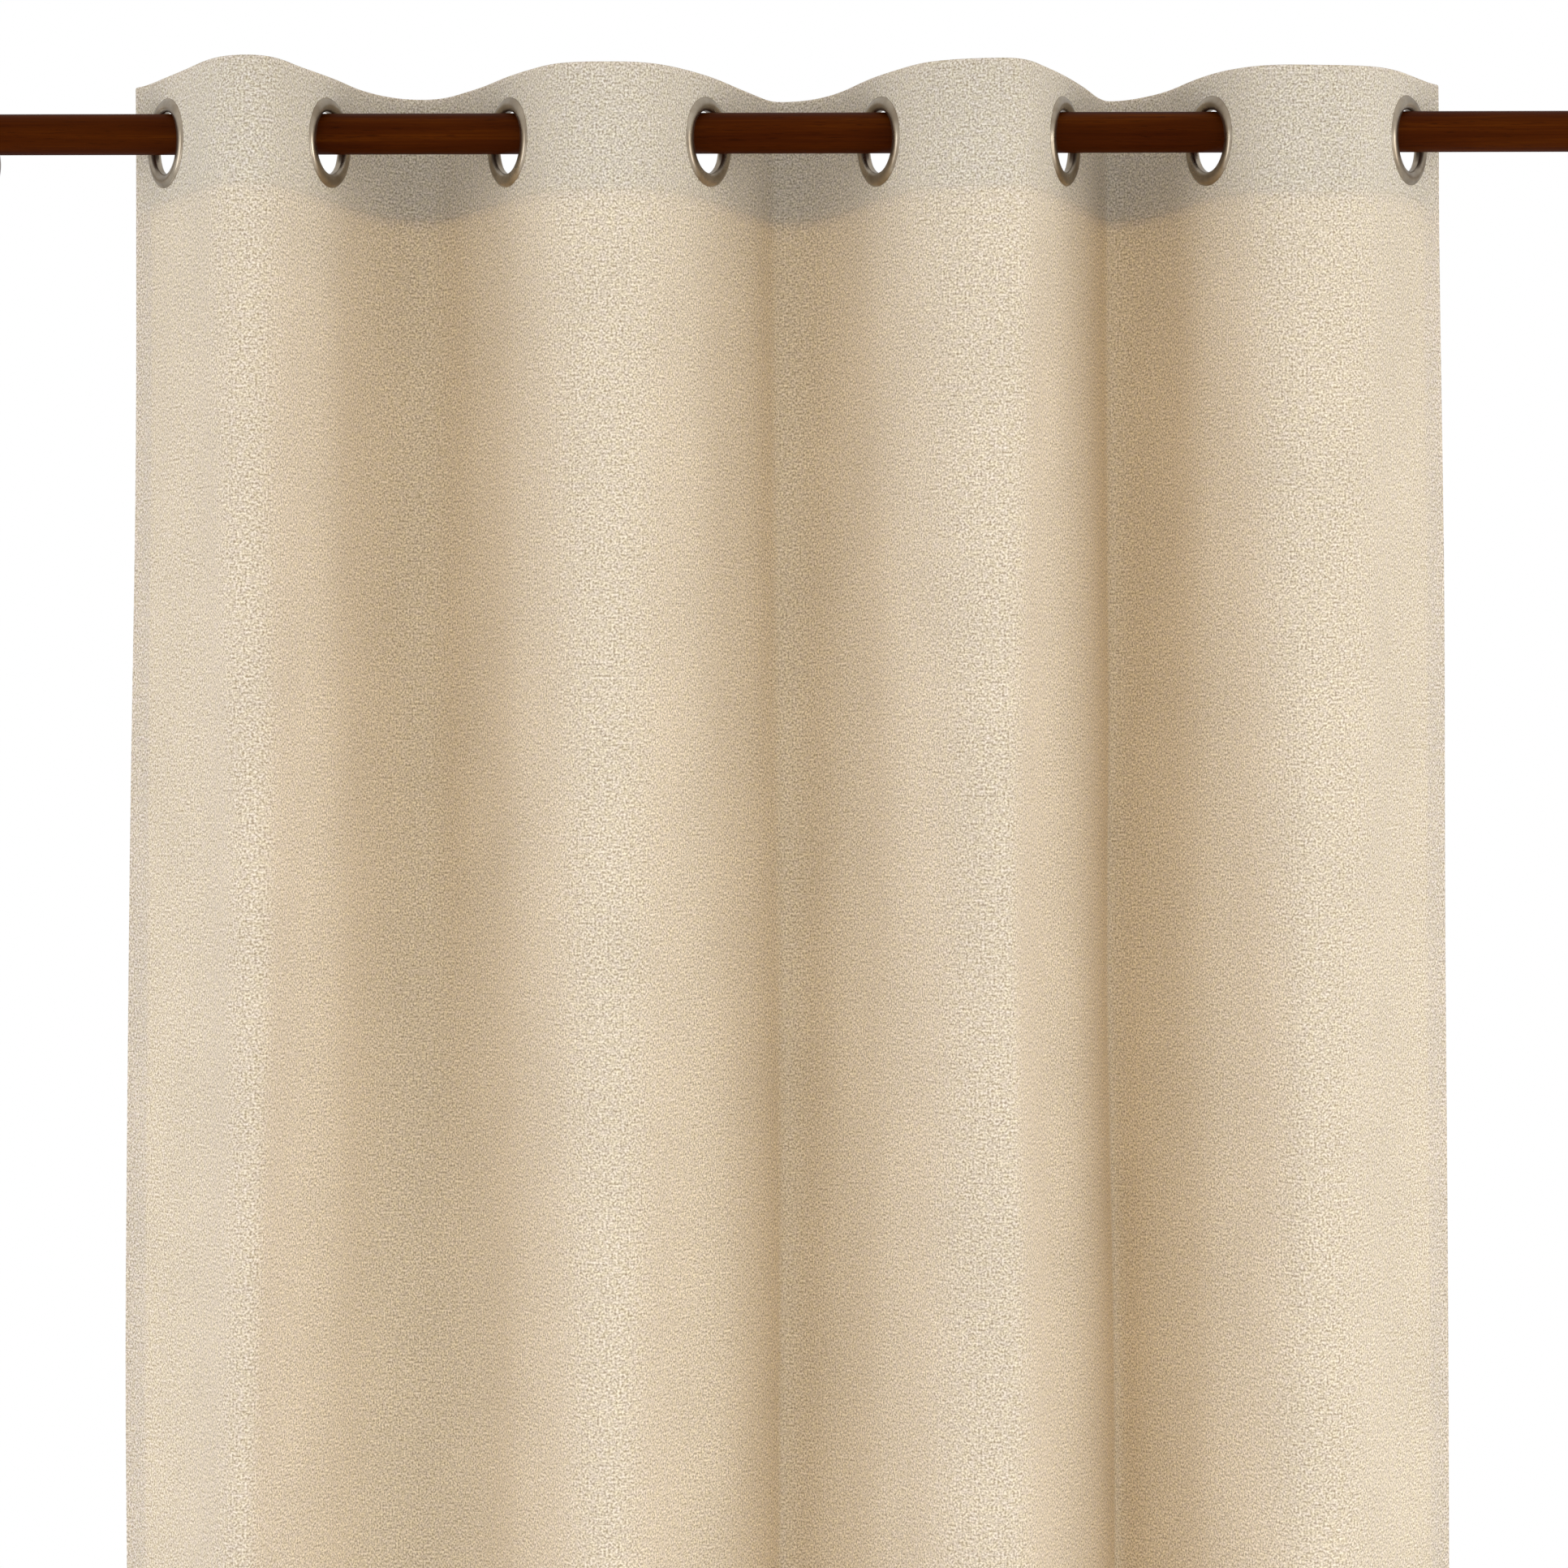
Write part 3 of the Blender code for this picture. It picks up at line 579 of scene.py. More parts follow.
def shape_with(piece: bpy.types.Object, steps: Sequence[tuple[str, bpy.types.Object]],
               edge: float = 0.0) -> None:
    """Join shapes to a piece and cut shapes from it, then round its edges.

    Args:
        piece: the object that is changed.
        steps: UNION or DIFFERENCE, and the shape, which is used up.
        edge: radius of the rounded edges.
    """
    for operation, tool in steps:
        modifier = piece.modifiers.new(operation.lower(), "BOOLEAN")
        modifier.operation = operation
        modifier.solver = "EXACT"
        modifier.object = tool
    if edge:
        bevel = piece.modifiers.new("edge", "BEVEL")
        bevel.width = edge
        bevel.segments = 3
        bevel.limit_method = "ANGLE"
        bevel.angle_limit = math.radians(35)
        bevel.use_clamp_overlap = True
    graph = bpy.context.evaluated_depsgraph_get()
    mesh = bpy.data.meshes.new_from_object(piece.evaluated_get(graph))
    piece.modifiers.clear()
    piece.data = mesh
    for _, tool in steps:
        bpy.data.objects.remove(tool, do_unlink=True)
    tidy_mesh(piece, 35.0)


def box_centre(node: str) -> Vector:
    """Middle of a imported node's box."""
    low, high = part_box(node)
    return (low + high) / 2


class Finishes:
    """Every finish, made once and put on pieces."""

    def __init__(self) -> None:
        """Make the materials."""
        finishes = (LinenLookCloth(), HeadingTapeFinish(), StainedWood(), SatinNickel(), PlatedSteel())
        self.by_slot = {finish.slot: finish.build() for finish in finishes}
        self.thread = SewingThread().build()

    def dress(self, piece: bpy.types.Object, slot: Slot) -> None:
        """Give a piece its finish.

        Args:
            piece: the object.
            slot: the finish.
        """
        piece.data.materials.clear()
        piece.data.materials.append(self.by_slot[slot])


# --- Cloth --------------------------------------------------------------------------

@dataclass
class EyeletSeat:
    """Where one eyelet sits on the rod, read from its packed front ring."""

    index: int
    axis: Vector = field(init=False)
    centre: Vector = field(init=False)
    heading: float = field(init=False)

    def __post_init__(self) -> None:
        """Find the ring's axis as the direction in which it is thinnest."""
        node = frame["nodes"][f"eyelet_front_{self.index}"]
        points = np.array([vertex.co for vertex in node.data.vertices], float)
        middle = points.mean(axis=0)
        axis = np.linalg.eigh(np.cov((points - middle).T))[1][:, 0]
        axis = axis if axis[1] < 0 else -axis
        rod_y = box_centre("rod").y
        self.axis = Vector((axis[0], axis[1], 0.0)).normalized()
        x = middle[0] + (rod_y - middle[1]) * self.axis.x / self.axis.y
        self.centre = Vector((x, rod_y, middle[2]))
        self.heading = math.atan2(self.axis.x, -self.axis.y)


@dataclass
class Drift:
    """A gentle change with height: a few slow waves that start below the header."""

    reach: float
    seed: int
    start: float = -0.06
    fade: float = 0.50
    waves: int = 3

    def at(self, heights: np.ndarray) -> np.ndarray:
        """Amount at each height.

        Args:
            heights: the heights.

        Returns:
            The amounts, none above the start.
        """
        chance = np.random.default_rng(self.seed)
        grown = np.clip((self.start - heights) / self.fade, 0.0, 1.0)
        grown = grown * grown * (3 - 2 * grown)
        total = np.zeros_like(heights)
        for wave in range(self.waves):
            length = chance.uniform(0.9, 2.6) / (1 + 0.7 * wave)
            phase = chance.uniform(0.0, math.tau)
            total += chance.uniform(0.5, 1.0) / (1 + wave) * np.sin(math.tau * heights / length + phase)
        return self.reach * grown * total / 1.4


@dataclass
class FoldPlan:
    """The curtain's middle line seen from above at every height.

    Each fold leaves its eyelet straight, swells to one crest and comes back to the
    next eyelet. Its depth at a height is whatever uses up the cloth between them.
    """

    seats: list[EyeletSeat]
    cloth_per_fold: float = 0.187
    side_flap: float = 0.0455
    straight_at_eyelet: float = 0.0290
    straight_below: float = 0.0050
    crest_shift: tuple[float, ...] = (0.009, -0.004, 0.005, -0.010, 0.014, -0.011, -0.006)
    crest_drift: tuple[float, ...] = (0.006, 0.012, 0.005, 0.004, 0.005, 0.004, 0.008)
    cloth_below: tuple[float, ...] = (0.03, -0.20, 0.03, -0.05, 0.03, -0.10, 0.01)
    droop: tuple[float, ...] = (0.0, 0.0025, 0.0025, 0.0040, 0.0015, 0.0030, 0.0055)
    flank_reach: tuple[float, float] = (0.52, 0.70)
    crest_reach: tuple[float, float] = (0.78, 0.52)
    slacken: float = 0.12
    depth_limits: tuple[float, float] = (0.020, 0.100)
    halvings: int = 34
    flap_straight: float = 0.026
    samples: int = 60

    def eyelet_at(self, index: int) -> float:
        """Distance of an eyelet's centre across the flat cloth."""
        return self.side_flap + index * self.cloth_per_fold

    def below_header(self, heights: np.ndarray, depth: float = 0.9) -> np.ndarray:
        """Rise from 0 at the header to 1 at a depth below it, smoothly."""
        share = np.clip((-0.03 - heights) / depth, 0.0, 1.0)
        return share * share * (3 - 2 * share)

    def node(self, index: int, heights: np.ndarray) -> tuple[np.ndarray, np.ndarray, np.ndarray]:
        """Where the line passes an eyelet's own column at each height.

        Args:
            index: the eyelet, from 0.
            heights: the heights.

        Returns:
            x, y and the angle between cloth and rod.
        """
        seat = self.seats[index]
        x = seat.centre.x + Drift(0.0030, 10 + index).at(heights)
        y = seat.centre.y + Drift(0.0050, 30 + index).at(heights)
        angle = abs(seat.heading) * (1 - self.slacken * self.below_header(heights, 0.6))
        angle += Drift(math.radians(4.0), 50 + index).at(heights)
        return x, y, angle

    def half_fold(self, near: tuple[np.ndarray, np.ndarray], angle: np.ndarray, straight: np.ndarray,
                  crest: np.ndarray, depth: np.ndarray, back: int) -> np.ndarray:
        """Line from an eyelet to the crest, both measured as distances from the eyelet.

        Args:
            near: start point, x and y.
            angle: angle in which it leaves.
            straight: length of its straight run.
            crest: x distance to the crest.
            depth: y distance to the crest.
            back: 0 for a fold towards the room, 1 for one towards the wall.

        Returns:
            Points, rows by samples by 2.
        """
        start = np.stack((near[0] + straight * np.cos(angle), near[1] + straight * np.sin(angle)), -1)
        room = np.minimum(self.flank_reach[back] * (depth - start[:, 1]) / np.sin(angle),
                          0.85 * (crest - start[:, 0]) / np.cos(angle))
        room = np.maximum(room, 0.001)
        leave = start + room[:, None] * np.stack((np.cos(angle), np.sin(angle)), -1)
        peak = np.stack((crest, depth), -1)
        arrive = peak - np.stack((self.crest_reach[back] * (crest - leave[:, 0]), np.zeros_like(crest)), -1)
        t = np.linspace(0.0, 1.0, self.samples)[None, :, None]
        curve = ((1 - t) ** 3 * start[:, None] + 3 * (1 - t) ** 2 * t * leave[:, None]
                 + 3 * (1 - t) * t ** 2 * arrive[:, None] + t ** 3 * peak[:, None])
        origin = np.stack(near, -1)[:, None]
        return np.concatenate((origin, curve), axis=1)

    def fold(self, index: int, shares: np.ndarray, heights: np.ndarray) -> np.ndarray:
        """Middle line of a fold.

        Args:
            index: the fold, from 0.
            shares: places along its cloth, 0 to 1.
            heights: the heights.

        Returns:
            Points, rows by shares by 2.
        """
        x0, y0, in_angle = self.node(index, heights)
        x1, y1, out_angle = self.node(index + 1, heights)
        side = -1.0 if index % 2 == 0 else 1.0
        below = self.below_header(heights)
        cloth = self.cloth_per_fold * (1 + self.cloth_below[index] * below)
        cloth += Drift(0.0030, 70 + index).at(heights)
        straight = self.straight_at_eyelet + (self.straight_below - self.straight_at_eyelet) * below
        crest = (x0 + x1) / 2 + self.crest_shift[index]
        crest = crest + Drift(self.crest_drift[index], 90 + index).at(heights)
        low, high = (np.full_like(x0, limit) for limit in self.depth_limits)
        for _ in range(self.halvings):
            depth = (low + high) / 2
            line = self.joined(x0, y0, x1, y1, in_angle, out_angle, straight, crest, depth, side)
            longer = np.linalg.norm(np.diff(line, axis=1), axis=-1).sum(axis=1) > cloth
            high = np.where(longer, depth, high)
            low = np.where(longer, low, depth)
        return self.spread(line, shares)

    def joined(self, x0: np.ndarray, y0: np.ndarray, x1: np.ndarray, y1: np.ndarray,
               in_angle: np.ndarray, out_angle: np.ndarray, straight: np.ndarray,
               crest: np.ndarray, depth: np.ndarray, side: float) -> np.ndarray:
        """Both halves of a fold as one line.

        Args:
            x0: first eyelet's x.
            y0: first eyelet's y.
            x1: next eyelet's x.
            y1: next eyelet's y.
            in_angle: angle at the first.
            out_angle: angle at the next.
            straight: straight run at each.
            crest: the crest's x.
            depth: the crest's distance from the rod's axis.
            side: -1 towards the room, 1 towards the wall.

        Returns:
            Points, rows by samples by 2.
        """
        rod_y = self.seats[0].centre.y
        zero = np.zeros_like(x0)
        back = int(side > 0)
        first = self.half_fold((zero, side * (y0 - rod_y)), in_angle, straight, crest - x0, depth, back)
        second = self.half_fold((zero, side * (y1 - rod_y)), out_angle, straight, x1 - crest, depth, back)
        first = np.stack((x0[:, None] + first[..., 0], rod_y + side * first[..., 1]), -1)
        second = np.stack((x1[:, None] - second[..., 0], rod_y + side * second[..., 1]), -1)
        return np.concatenate((first, second[:, ::-1][:, 1:]), axis=1)

    @staticmethod
    def spread(line: np.ndarray, shares: np.ndarray) -> np.ndarray:
        """Read a line at even shares of its length.

        Args:
            line: points, rows by samples by 2.
            shares: places, 0 to 1.

        Returns:
            Points, rows by shares by 2.
        """
        steps = np.linalg.norm(np.diff(line, axis=1), axis=-1)
        along = np.concatenate((np.zeros((len(line), 1)), np.cumsum(steps, axis=1)), axis=1)
        rows = [[np.interp(shares * travelled[-1], travelled, points[:, axis]) for axis in (0, 1)]
                for travelled, points in zip(along, line)]
        return np.moveaxis(np.array(rows), 1, -1)

    def flap(self, side: Side, distances: np.ndarray, heights: np.ndarray) -> np.ndarray:
        """Middle line of a side flap.

        Args:
            side: which end.
            distances: distances outwards from its eyelet.
            heights: the heights.

        Returns:
            Points, rows by distances by 2.
        """
        index = 0 if side is Side.LEFT else len(self.seats) - 1
        x, y, angle = self.node(index, heights)
        fine = np.linspace(0.0, self.side_flap, 40)
        turned = np.clip((fine - self.flap_straight) / (self.side_flap - self.flap_straight), 0.0, 1.0) ** 2
        curl = math.radians(16.0) + math.radians(10.0) * self.below_header(heights, 0.5)
        curl = curl + Drift(math.radians(6.0), 8 + index).at(heights)
        direction = angle[:, None] - curl[:, None] * turned[None, :]
        step = fine[1] - fine[0]
        across = np.cumsum(np.cos(direction), axis=1) * step
        back = np.cumsum(np.sin(direction), axis=1) * step
        across -= across[:, :1]
        back -= back[:, :1]
        rows = [[at_x + side.value * np.interp(distances, fine, row_x),
                 at_y + np.interp(distances, fine, row_y)]
                for at_x, at_y, row_x, row_y in zip(x, y, across, back)]
        return np.moveaxis(np.array(rows), 1, -1)


@dataclass
class ClothRoute:
    """Cross-section of a layer of cloth: offsets, heights and outward directions."""

    offset: np.ndarray
    height: np.ndarray
    outward: np.ndarray

    @property
    def flat(self) -> np.ndarray:
        """Distance along the cloth from the route's first point."""
        steps = np.hypot(np.diff(self.offset), np.diff(self.height))
        return np.concatenate(((0.0,), np.cumsum(steps)))


@dataclass
class HangingCloth:
    """The curtain: one sheet with hem, header and side hems, in nine joined lengths."""

    plan: FoldPlan
    finishes: Finishes
    top: float = 0.0355
    drop: float = 2.500
    header: float = 0.080
    hem: float = 0.080
    side_hem: float = 0.020
    layer: float = 0.0014
    turn_up: float = 0.0013
    hole_radius: float = 0.0212
    columns: int = 44
    header_rows: int = 20
    drop_rows: int = 170
    stitch: float = 0.0030
    stitch_span: tuple[float, float] = (0.0003, 0.0026)
    thread_radius: float = 0.00026
    blend_margin: float = 0.014
    ripple_height: float = 0.0008
    calm_radius: float = 0.029
    calm_fade: float = 0.050
    edge_roll: float = 0.00045

    def cloth_route(self) -> ClothRoute:
        """Hem, front layer, fold over the top and the header's back layer."""
        bottom = self.top - self.drop
        small = self.turn_up / 2
        rows: list[tuple[float, float, float, float]] = []
        for z in np.linspace(bottom + self.hem, bottom + 2 * small, 14):
            rows.append((self.layer - self.turn_up, z, -1.0, 0.0))
        for a in np.radians(np.linspace(180, 360, 7)):
            rows.append((self.layer - small + small * math.cos(a), bottom + small + small * math.sin(a),
                         math.cos(a), math.sin(a)))
        lower = list(np.linspace(bottom + 0.004, bottom + self.hem, 12))
        middle = list(np.linspace(bottom + self.hem, self.top - self.header, self.drop_rows))[1:]
        upper = list(np.linspace(self.top - self.header, self.top - self.layer, self.header_rows))[1:]
        rows += [(self.layer, z, 1.0, 0.0) for z in (*lower, *middle, *upper)]
        for a in np.radians(np.linspace(0, 180, 9))[1:]:
            rows.append((self.layer * math.cos(a), self.top - self.layer + self.layer * math.sin(a),
                         math.cos(a), math.sin(a)))
        for z in np.linspace(self.top - self.layer, self.top - self.header, self.header_rows)[1:]:
            rows.append((-self.layer, z, -1.0, 0.0))
        table = np.array(rows)
        return ClothRoute(table[:, 0], table[:, 1], table[:, 2:])

    def tape_route(self) -> ClothRoute:
        """The stiff tape between the header's two layers."""
        heights = np.linspace(self.top - self.header + 0.003, self.top - 0.0022, self.header_rows)
        zero = np.zeros_like(heights)
        return ClothRoute(zero, heights, np.stack((zero + 1, zero), -1))

    def ripple(self, across: np.ndarray, heights: np.ndarray) -> np.ndarray:
        """Shallow hanging ripples, none under the eyelets' rings.

        Args:
            across: distances along the flat cloth, one per column.
            heights: heights, one per row.

        Returns:
            Outward displacement, rows by columns.
        """
        chance = np.random.default_rng(7)
        u, z = np.meshgrid(across, heights)
        total = np.zeros_like(u)
        for _ in range(12):
            wide = chance.uniform(0.045, 0.150)
            tall = chance.uniform(0.7, 2.8)
            phase, lean = chance.uniform(0, math.tau, 2)
            total += chance.uniform(0.15, 0.45) * np.sin(
                math.tau * u / wide + phase + 1.6 * np.sin(math.tau * z / tall + lean))
        for _ in range(16):
            wide = chance.uniform(0.020, 0.045)
            at_u, at_z = chance.uniform(0, 1.4), chance.uniform(-2.2, -0.10)
            slope = chance.uniform(-0.10, 0.10)
            away = u - at_u - slope * (z - at_z)
            total += chance.uniform(-1.1, 1.1) * np.exp(-(away / wide) ** 2 - ((z - at_z) / 0.20) ** 2)
        total *= self.ripple_height
        calm = np.ones_like(u)
        for index in range(len(self.plan.seats)):
            distance = np.hypot(u - self.plan.eyelet_at(index), z - self.plan.seats[0].centre.z)
            calm = np.minimum(calm, np.clip((distance - self.calm_radius) / self.calm_fade, 0.0, 1.0))
        return total * calm * calm * (3 - 2 * calm)

    def lay(self, line: np.ndarray, normal: np.ndarray, route: ClothRoute, across: np.ndarray,
            lift: np.ndarray, droop: np.ndarray) -> np.ndarray:
        """Put a route's offsets beside a line.

        Args:
            line: rows by columns by 2.
            normal: outward direction of each point, rows by columns by 2.
            route: the cross-section.
            across: distances along the flat cloth.
            lift: extra outward offset of each column.
            droop: how far each column hangs down.

        Returns:
            Points, rows by columns by 3.
        """
        offset = route.offset[:, None] + route.outward[:, :1] * lift[None, :]
        offset = offset + self.ripple(across, route.height)
        flat = line + normal * offset[..., None]
        height = route.height[:, None] + route.outward[:, 1:] * lift[None, :] - droop[None, :]
        return np.concatenate((flat, height[..., None]), axis=-1)

    def node_normal(self, index: int, heights: np.ndarray) -> np.ndarray:
        """Outward direction at an eyelet's own column, so that neighbours meet exactly."""
        angle = self.plan.node(index, heights)[2]
        sign = -1.0 if index % 2 == 0 else 1.0
        return np.stack((sign * np.sin(angle), -np.cos(angle)), -1)

    def normals(self, line: np.ndarray, heights: np.ndarray, first: int | None,
                last: int | None) -> np.ndarray:
        """Outward directions along a line, exact at the columns that neighbours share.

        Args:
            line: rows by columns by 2.
            heights: one per row.
            first: eyelet at the first column, if any.
            last: eyelet at the last column, if any.

        Returns:
            Unit vectors, rows by columns by 2.
        """
        heading = np.gradient(line, axis=1)
        heading /= np.maximum(np.linalg.norm(heading, axis=-1, keepdims=True), 1e-9)
        normal = np.stack((heading[..., 1], -heading[..., 0]), -1)
        if first is not None:
            normal[:, 0] = self.node_normal(first, heights)
        if last is not None:
            normal[:, -1] = self.node_normal(last, heights)
        return normal

    def sheet(self, name: str, points: np.ndarray, across: np.ndarray, route: ClothRoute,
              slot: Slot) -> bpy.types.Object:
        """Make a length of cloth with its half holes for the eyelets.

        Args:
            name: the piece's name.
            points: rows by columns by 3.
            across: distances along the flat cloth, one per column.
            route: the cross-section.
            slot: its finish.

        Returns:
            The object.
        """
        rows, columns = points.shape[:2]
        u, z = np.meshgrid(across, route.height)
        inside = np.zeros_like(u, bool)
        moved = points.copy()
        for index in range(len(self.plan.seats)):
            du, dz = u - self.plan.eyelet_at(index), z - self.plan.seats[0].centre.z
            distance = np.hypot(du, dz)
            hit = distance < self.hole_radius
            inside |= hit
            scale = self.hole_radius / np.maximum(distance, 1e-6)
            for row, column in zip(*np.nonzero(hit)):
                shift_u = du[row, column] * (scale[row, column] - 1)
                shift_z = dz[row, column] * (scale[row, column] - 1)
                if distance[row, column] < 1e-6:
                    shift_u, shift_z = 0.0, self.hole_radius
                near = min(max(column, 1), columns - 2)
                along = points[row, near + 1] - points[row, near - 1]
                along[2] = 0.0
                moved[row, column] += along / max(np.linalg.norm(along), 1e-9) * shift_u
                moved[row, column, 2] += shift_z
        faces = []
        for row in range(rows - 1):
            for column in range(columns - 1):
                corners = ((row, column), (row, column + 1), (row + 1, column + 1), (row + 1, column))
                if not all(inside[corner] for corner in corners):
                    faces.append(tuple(r * columns + c for r, c in corners))
        mesh = bpy.data.meshes.new(name)
        mesh.from_pydata(moved.reshape(-1, 3).tolist(), [], faces)
        flat = np.stack(np.meshgrid(across, route.flat), -1).reshape(-1, 2)
        layer = mesh.uv_layers.new(name="flat_cloth")
        corner = np.zeros(len(mesh.loops), np.int32)
        mesh.loops.foreach_get("vertex_index", corner)
        layer.data.foreach_set("uv", flat[corner].astype(np.float32).ravel())
        piece = bpy.data.objects.new(name, mesh)
        bpy.context.scene.collection.objects.link(piece)
        self.drop_loose(piece)
        piece.data.shade_smooth()
        self.finishes.dress(piece, slot)
        return piece

    @staticmethod
    def drop_loose(piece: bpy.types.Object) -> None:
        """Remove vertices that no face uses and faces with no area."""
        body = bmesh.new()
        body.from_mesh(piece.data)
        bmesh.ops.dissolve_degenerate(body, edges=body.edges, dist=0.00001)
        loose = [vertex for vertex in body.verts if not vertex.link_faces]
        bmesh.ops.delete(body, geom=loose, context="VERTS")
        body.to_mesh(piece.data)
        body.free()

    def lengths(self) -> list[tuple[str, np.ndarray, np.ndarray, int | None, int | None]]:
        """Each length of cloth: name, columns across the flat cloth, lifts, first and last eyelet."""
        flap, fold = self.plan.side_flap, self.plan.cloth_per_fold
        count = len(self.plan.seats)
        width = 2 * flap + (count - 1) * fold
        turn = np.radians(np.linspace(180, 0, 5))
        radius = self.edge_roll
        behind, front = np.linspace(self.side_hem, 0.0015, 7), np.linspace(0.0010, flap, 16)
        edge = np.concatenate((behind, radius - radius * np.sin(turn)[1:-1], front))
        lifts = np.concatenate((np.full(len(behind), -2 * radius), radius * np.cos(turn)[1:-1] - radius,
                                np.zeros(len(front))))
        found = [("left_flap", edge, lifts, None, 0)]
        for index in range(count - 1):
            across = np.linspace(flap + index * fold, flap + (index + 1) * fold, self.columns + 1)
            found.append((f"fold_{index + 1}", across, np.zeros(self.columns + 1), index, index + 1))
        found.append(("right_flap", (width - edge)[::-1], lifts[::-1], count - 1, None))
        return found

    def middle_line(self, number: int, across: np.ndarray, heights: np.ndarray) -> np.ndarray:
        """Middle line of a length of cloth.

        Args:
            number: which length, from 0.
            across: its columns.
            heights: its rows.

        Returns:
            Points, rows by columns by 2.
        """
        flap, fold = self.plan.side_flap, self.plan.cloth_per_fold
        count = len(self.plan.seats)
        if number == 0:
            return self.plan.flap(Side.LEFT, flap - across, heights)
        if number == count:
            return self.plan.flap(Side.RIGHT, across - flap - (count - 1) * fold, heights)
        shares = (across - across[0]) / (across[-1] - across[0])
        return self.plan.fold(number - 1, shares, heights)

    def attach(self, piece: bpy.types.Object, first: int | None, last: int | None) -> None:
        """Let a side flap follow the panel that it belongs to; a length between two panels only has its
        place baked into its mesh.

        Args:
            piece: the object.
            first: eyelet at its first column, if any.
            last: eyelet at its last column, if any.
        """
        if first is None or last is None:
            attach(piece, f"panel_{(last if first is None else first) + 1}")
            return
        start = self.plan.seats[first].centre + Vector((self.blend_margin, 0, 0))
        end = self.plan.seats[last].centre - Vector((self.blend_margin, 0, 0))
        start.x
        end.x
        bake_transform(piece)

    def add_thread(self, piece: bpy.types.Object, points: np.ndarray, across: np.ndarray,
                   route: ClothRoute, flat_rows: Sequence[float]) -> None:
        """Add rows of short rounded lengths of thread to the mesh of a piece.

        Args:
            piece: the length of cloth.
            points: its surface, rows by columns by 3.
            across: its columns.
            route: its cross-section.
            flat_rows: distances along the route at which a row runs.
        """
        body = bmesh.new()
        body.from_mesh(piece.data)
        starts = np.arange(math.ceil(min(across) / self.stitch), math.floor(max(across) / self.stitch))
        order = np.argsort(across)
        flat = route.flat
        for at_row in flat_rows:
            row = int(np.searchsorted(flat, at_row)) - 1
            share = (at_row - flat[row]) / (flat[row + 1] - flat[row])
            strip = points[row] * (1 - share) + points[row + 1] * share
            for start in starts * self.stitch:
                ends = [np.array([np.interp(start + step, across[order], strip[order, axis])
                                  for axis in range(3)]) for step in self.stitch_span]
                self.one_stitch(body, *ends)
        body.to_mesh(piece.data)
        body.free()

    def one_stitch(self, body: bmesh.types.BMesh, begin: np.ndarray, end: np.ndarray) -> None:
        """One length of thread that dips into the cloth at both ends.

        Args:
            body: the mesh it is added to.
            begin: where it starts.
            end: where it ends.
        """
        along = Vector(end - begin)
        side = along.cross(Vector((0, 0, 1))).normalized()
        rings = []
        for share, size in ((0.0, 0.35), (0.2, 0.9), (0.5, 1.0), (0.8, 0.9), (1.0, 0.35)):
            middle = Vector(begin) + share * along
            ring = []
            for corner in range(5):
                angle = math.tau * corner / 5
                reach = self.thread_radius * size
                ring.append(body.verts.new(middle + reach * (math.cos(angle) * side
                                                             + math.sin(angle) * Vector((0, 0, 1)))))
            rings.append(ring)
        for ring, after in zip(rings, rings[1:]):
            for corner in range(5):
                face = body.faces.new((ring[corner], ring[(corner + 1) % 5], after[(corner + 1) % 5],
                                       after[corner]))
                face.material_index = 1
                face.smooth = True

    def build(self, rests_on: bpy.types.Object) -> None:
        """Make the nine lengths of cloth and the tape inside them.

        Args:
            rests_on: the rod; not used.
        """
        for slot, route in ((Slot.CLOTH, self.cloth_route()), (Slot.TAPE, self.tape_route())):
            for number, (label, across, lifts, first, last) in enumerate(self.lengths()):
                if slot is Slot.TAPE and (first is None or last is None):
                    keep = np.abs(lifts) < 1e-9
                    across, lifts = across[keep], lifts[keep]
                line = self.middle_line(number, across, route.height)
                normal = self.normals(line, route.height, first, last)
                if first is None or last is None:
                    normal = self.flap_normals(number, across, route.height, first, last)
                droop = np.zeros(len(across))
                if first is not None and last is not None:
                    share = (across - across[0]) / (across[-1] - across[0])
                    droop = self.plan.droop[first] * np.sin(math.pi * share) ** 2
                points = self.lay(line, normal, route, across, lifts, droop)
                stem = "curtain" if slot is Slot.CLOTH else "header_tape"
                piece = self.sheet(f"{stem}_{label}", points, across, route, slot)
                if slot is Slot.CLOTH:
                    self.sew(piece, points, across, route)
                self.attach(piece, first, last)
                self.declare(slot, first, last)
                LOG.info("%s: %d faces", piece.name, len(piece.data.polygons))

    def flap_normals(self, number: int, across: np.ndarray, heights: np.ndarray, first: int | None,
                     last: int | None) -> np.ndarray:
        """Outward directions on a side flap, whose hem doubles back on its own line.

        Args:
            number: which length, from 0.
            across: its columns.
            heights: its rows.
            first: eyelet at its first column, if any.
            last: eyelet at its last column, if any.

        Returns:
            Unit vectors, rows by columns by 2.
        """
        step = 0.0005
        before = self.middle_line(number, across - step, heights)
        after = self.middle_line(number, across + step, heights)
        heading = after - before
        length = np.linalg.norm(heading, axis=-1, keepdims=True)
        heading = heading / np.maximum(length, 1e-9)
        normal = np.stack((heading[..., 1], -heading[..., 0]), -1)
        column = -1 if first is None else 0
        normal[:, column] = self.node_normal(last if first is None else first, heights)
        return normal

    def sew(self, piece: bpy.types.Object, points: np.ndarray, across: np.ndarray,
            route: ClothRoute) -> None:
        """Stitch the header's lower edge and the hem's upper edge.

        Args:
            piece: the length of cloth.
            points: its surface.
            across: its columns.
            route: its cross-section.
        """
        piece.data.materials.append(self.finishes.thread)
        front = route.outward[:, 0] > 0.99
        top_row = self.top - self.header + 0.0035
        hem_row = self.top - self.drop + self.hem - 0.0025
        rows = [float(np.interp(height, route.height[front], route.flat[front]))
                for height in (top_row, hem_row)]
        self.add_thread(piece, points, across, route, rows)

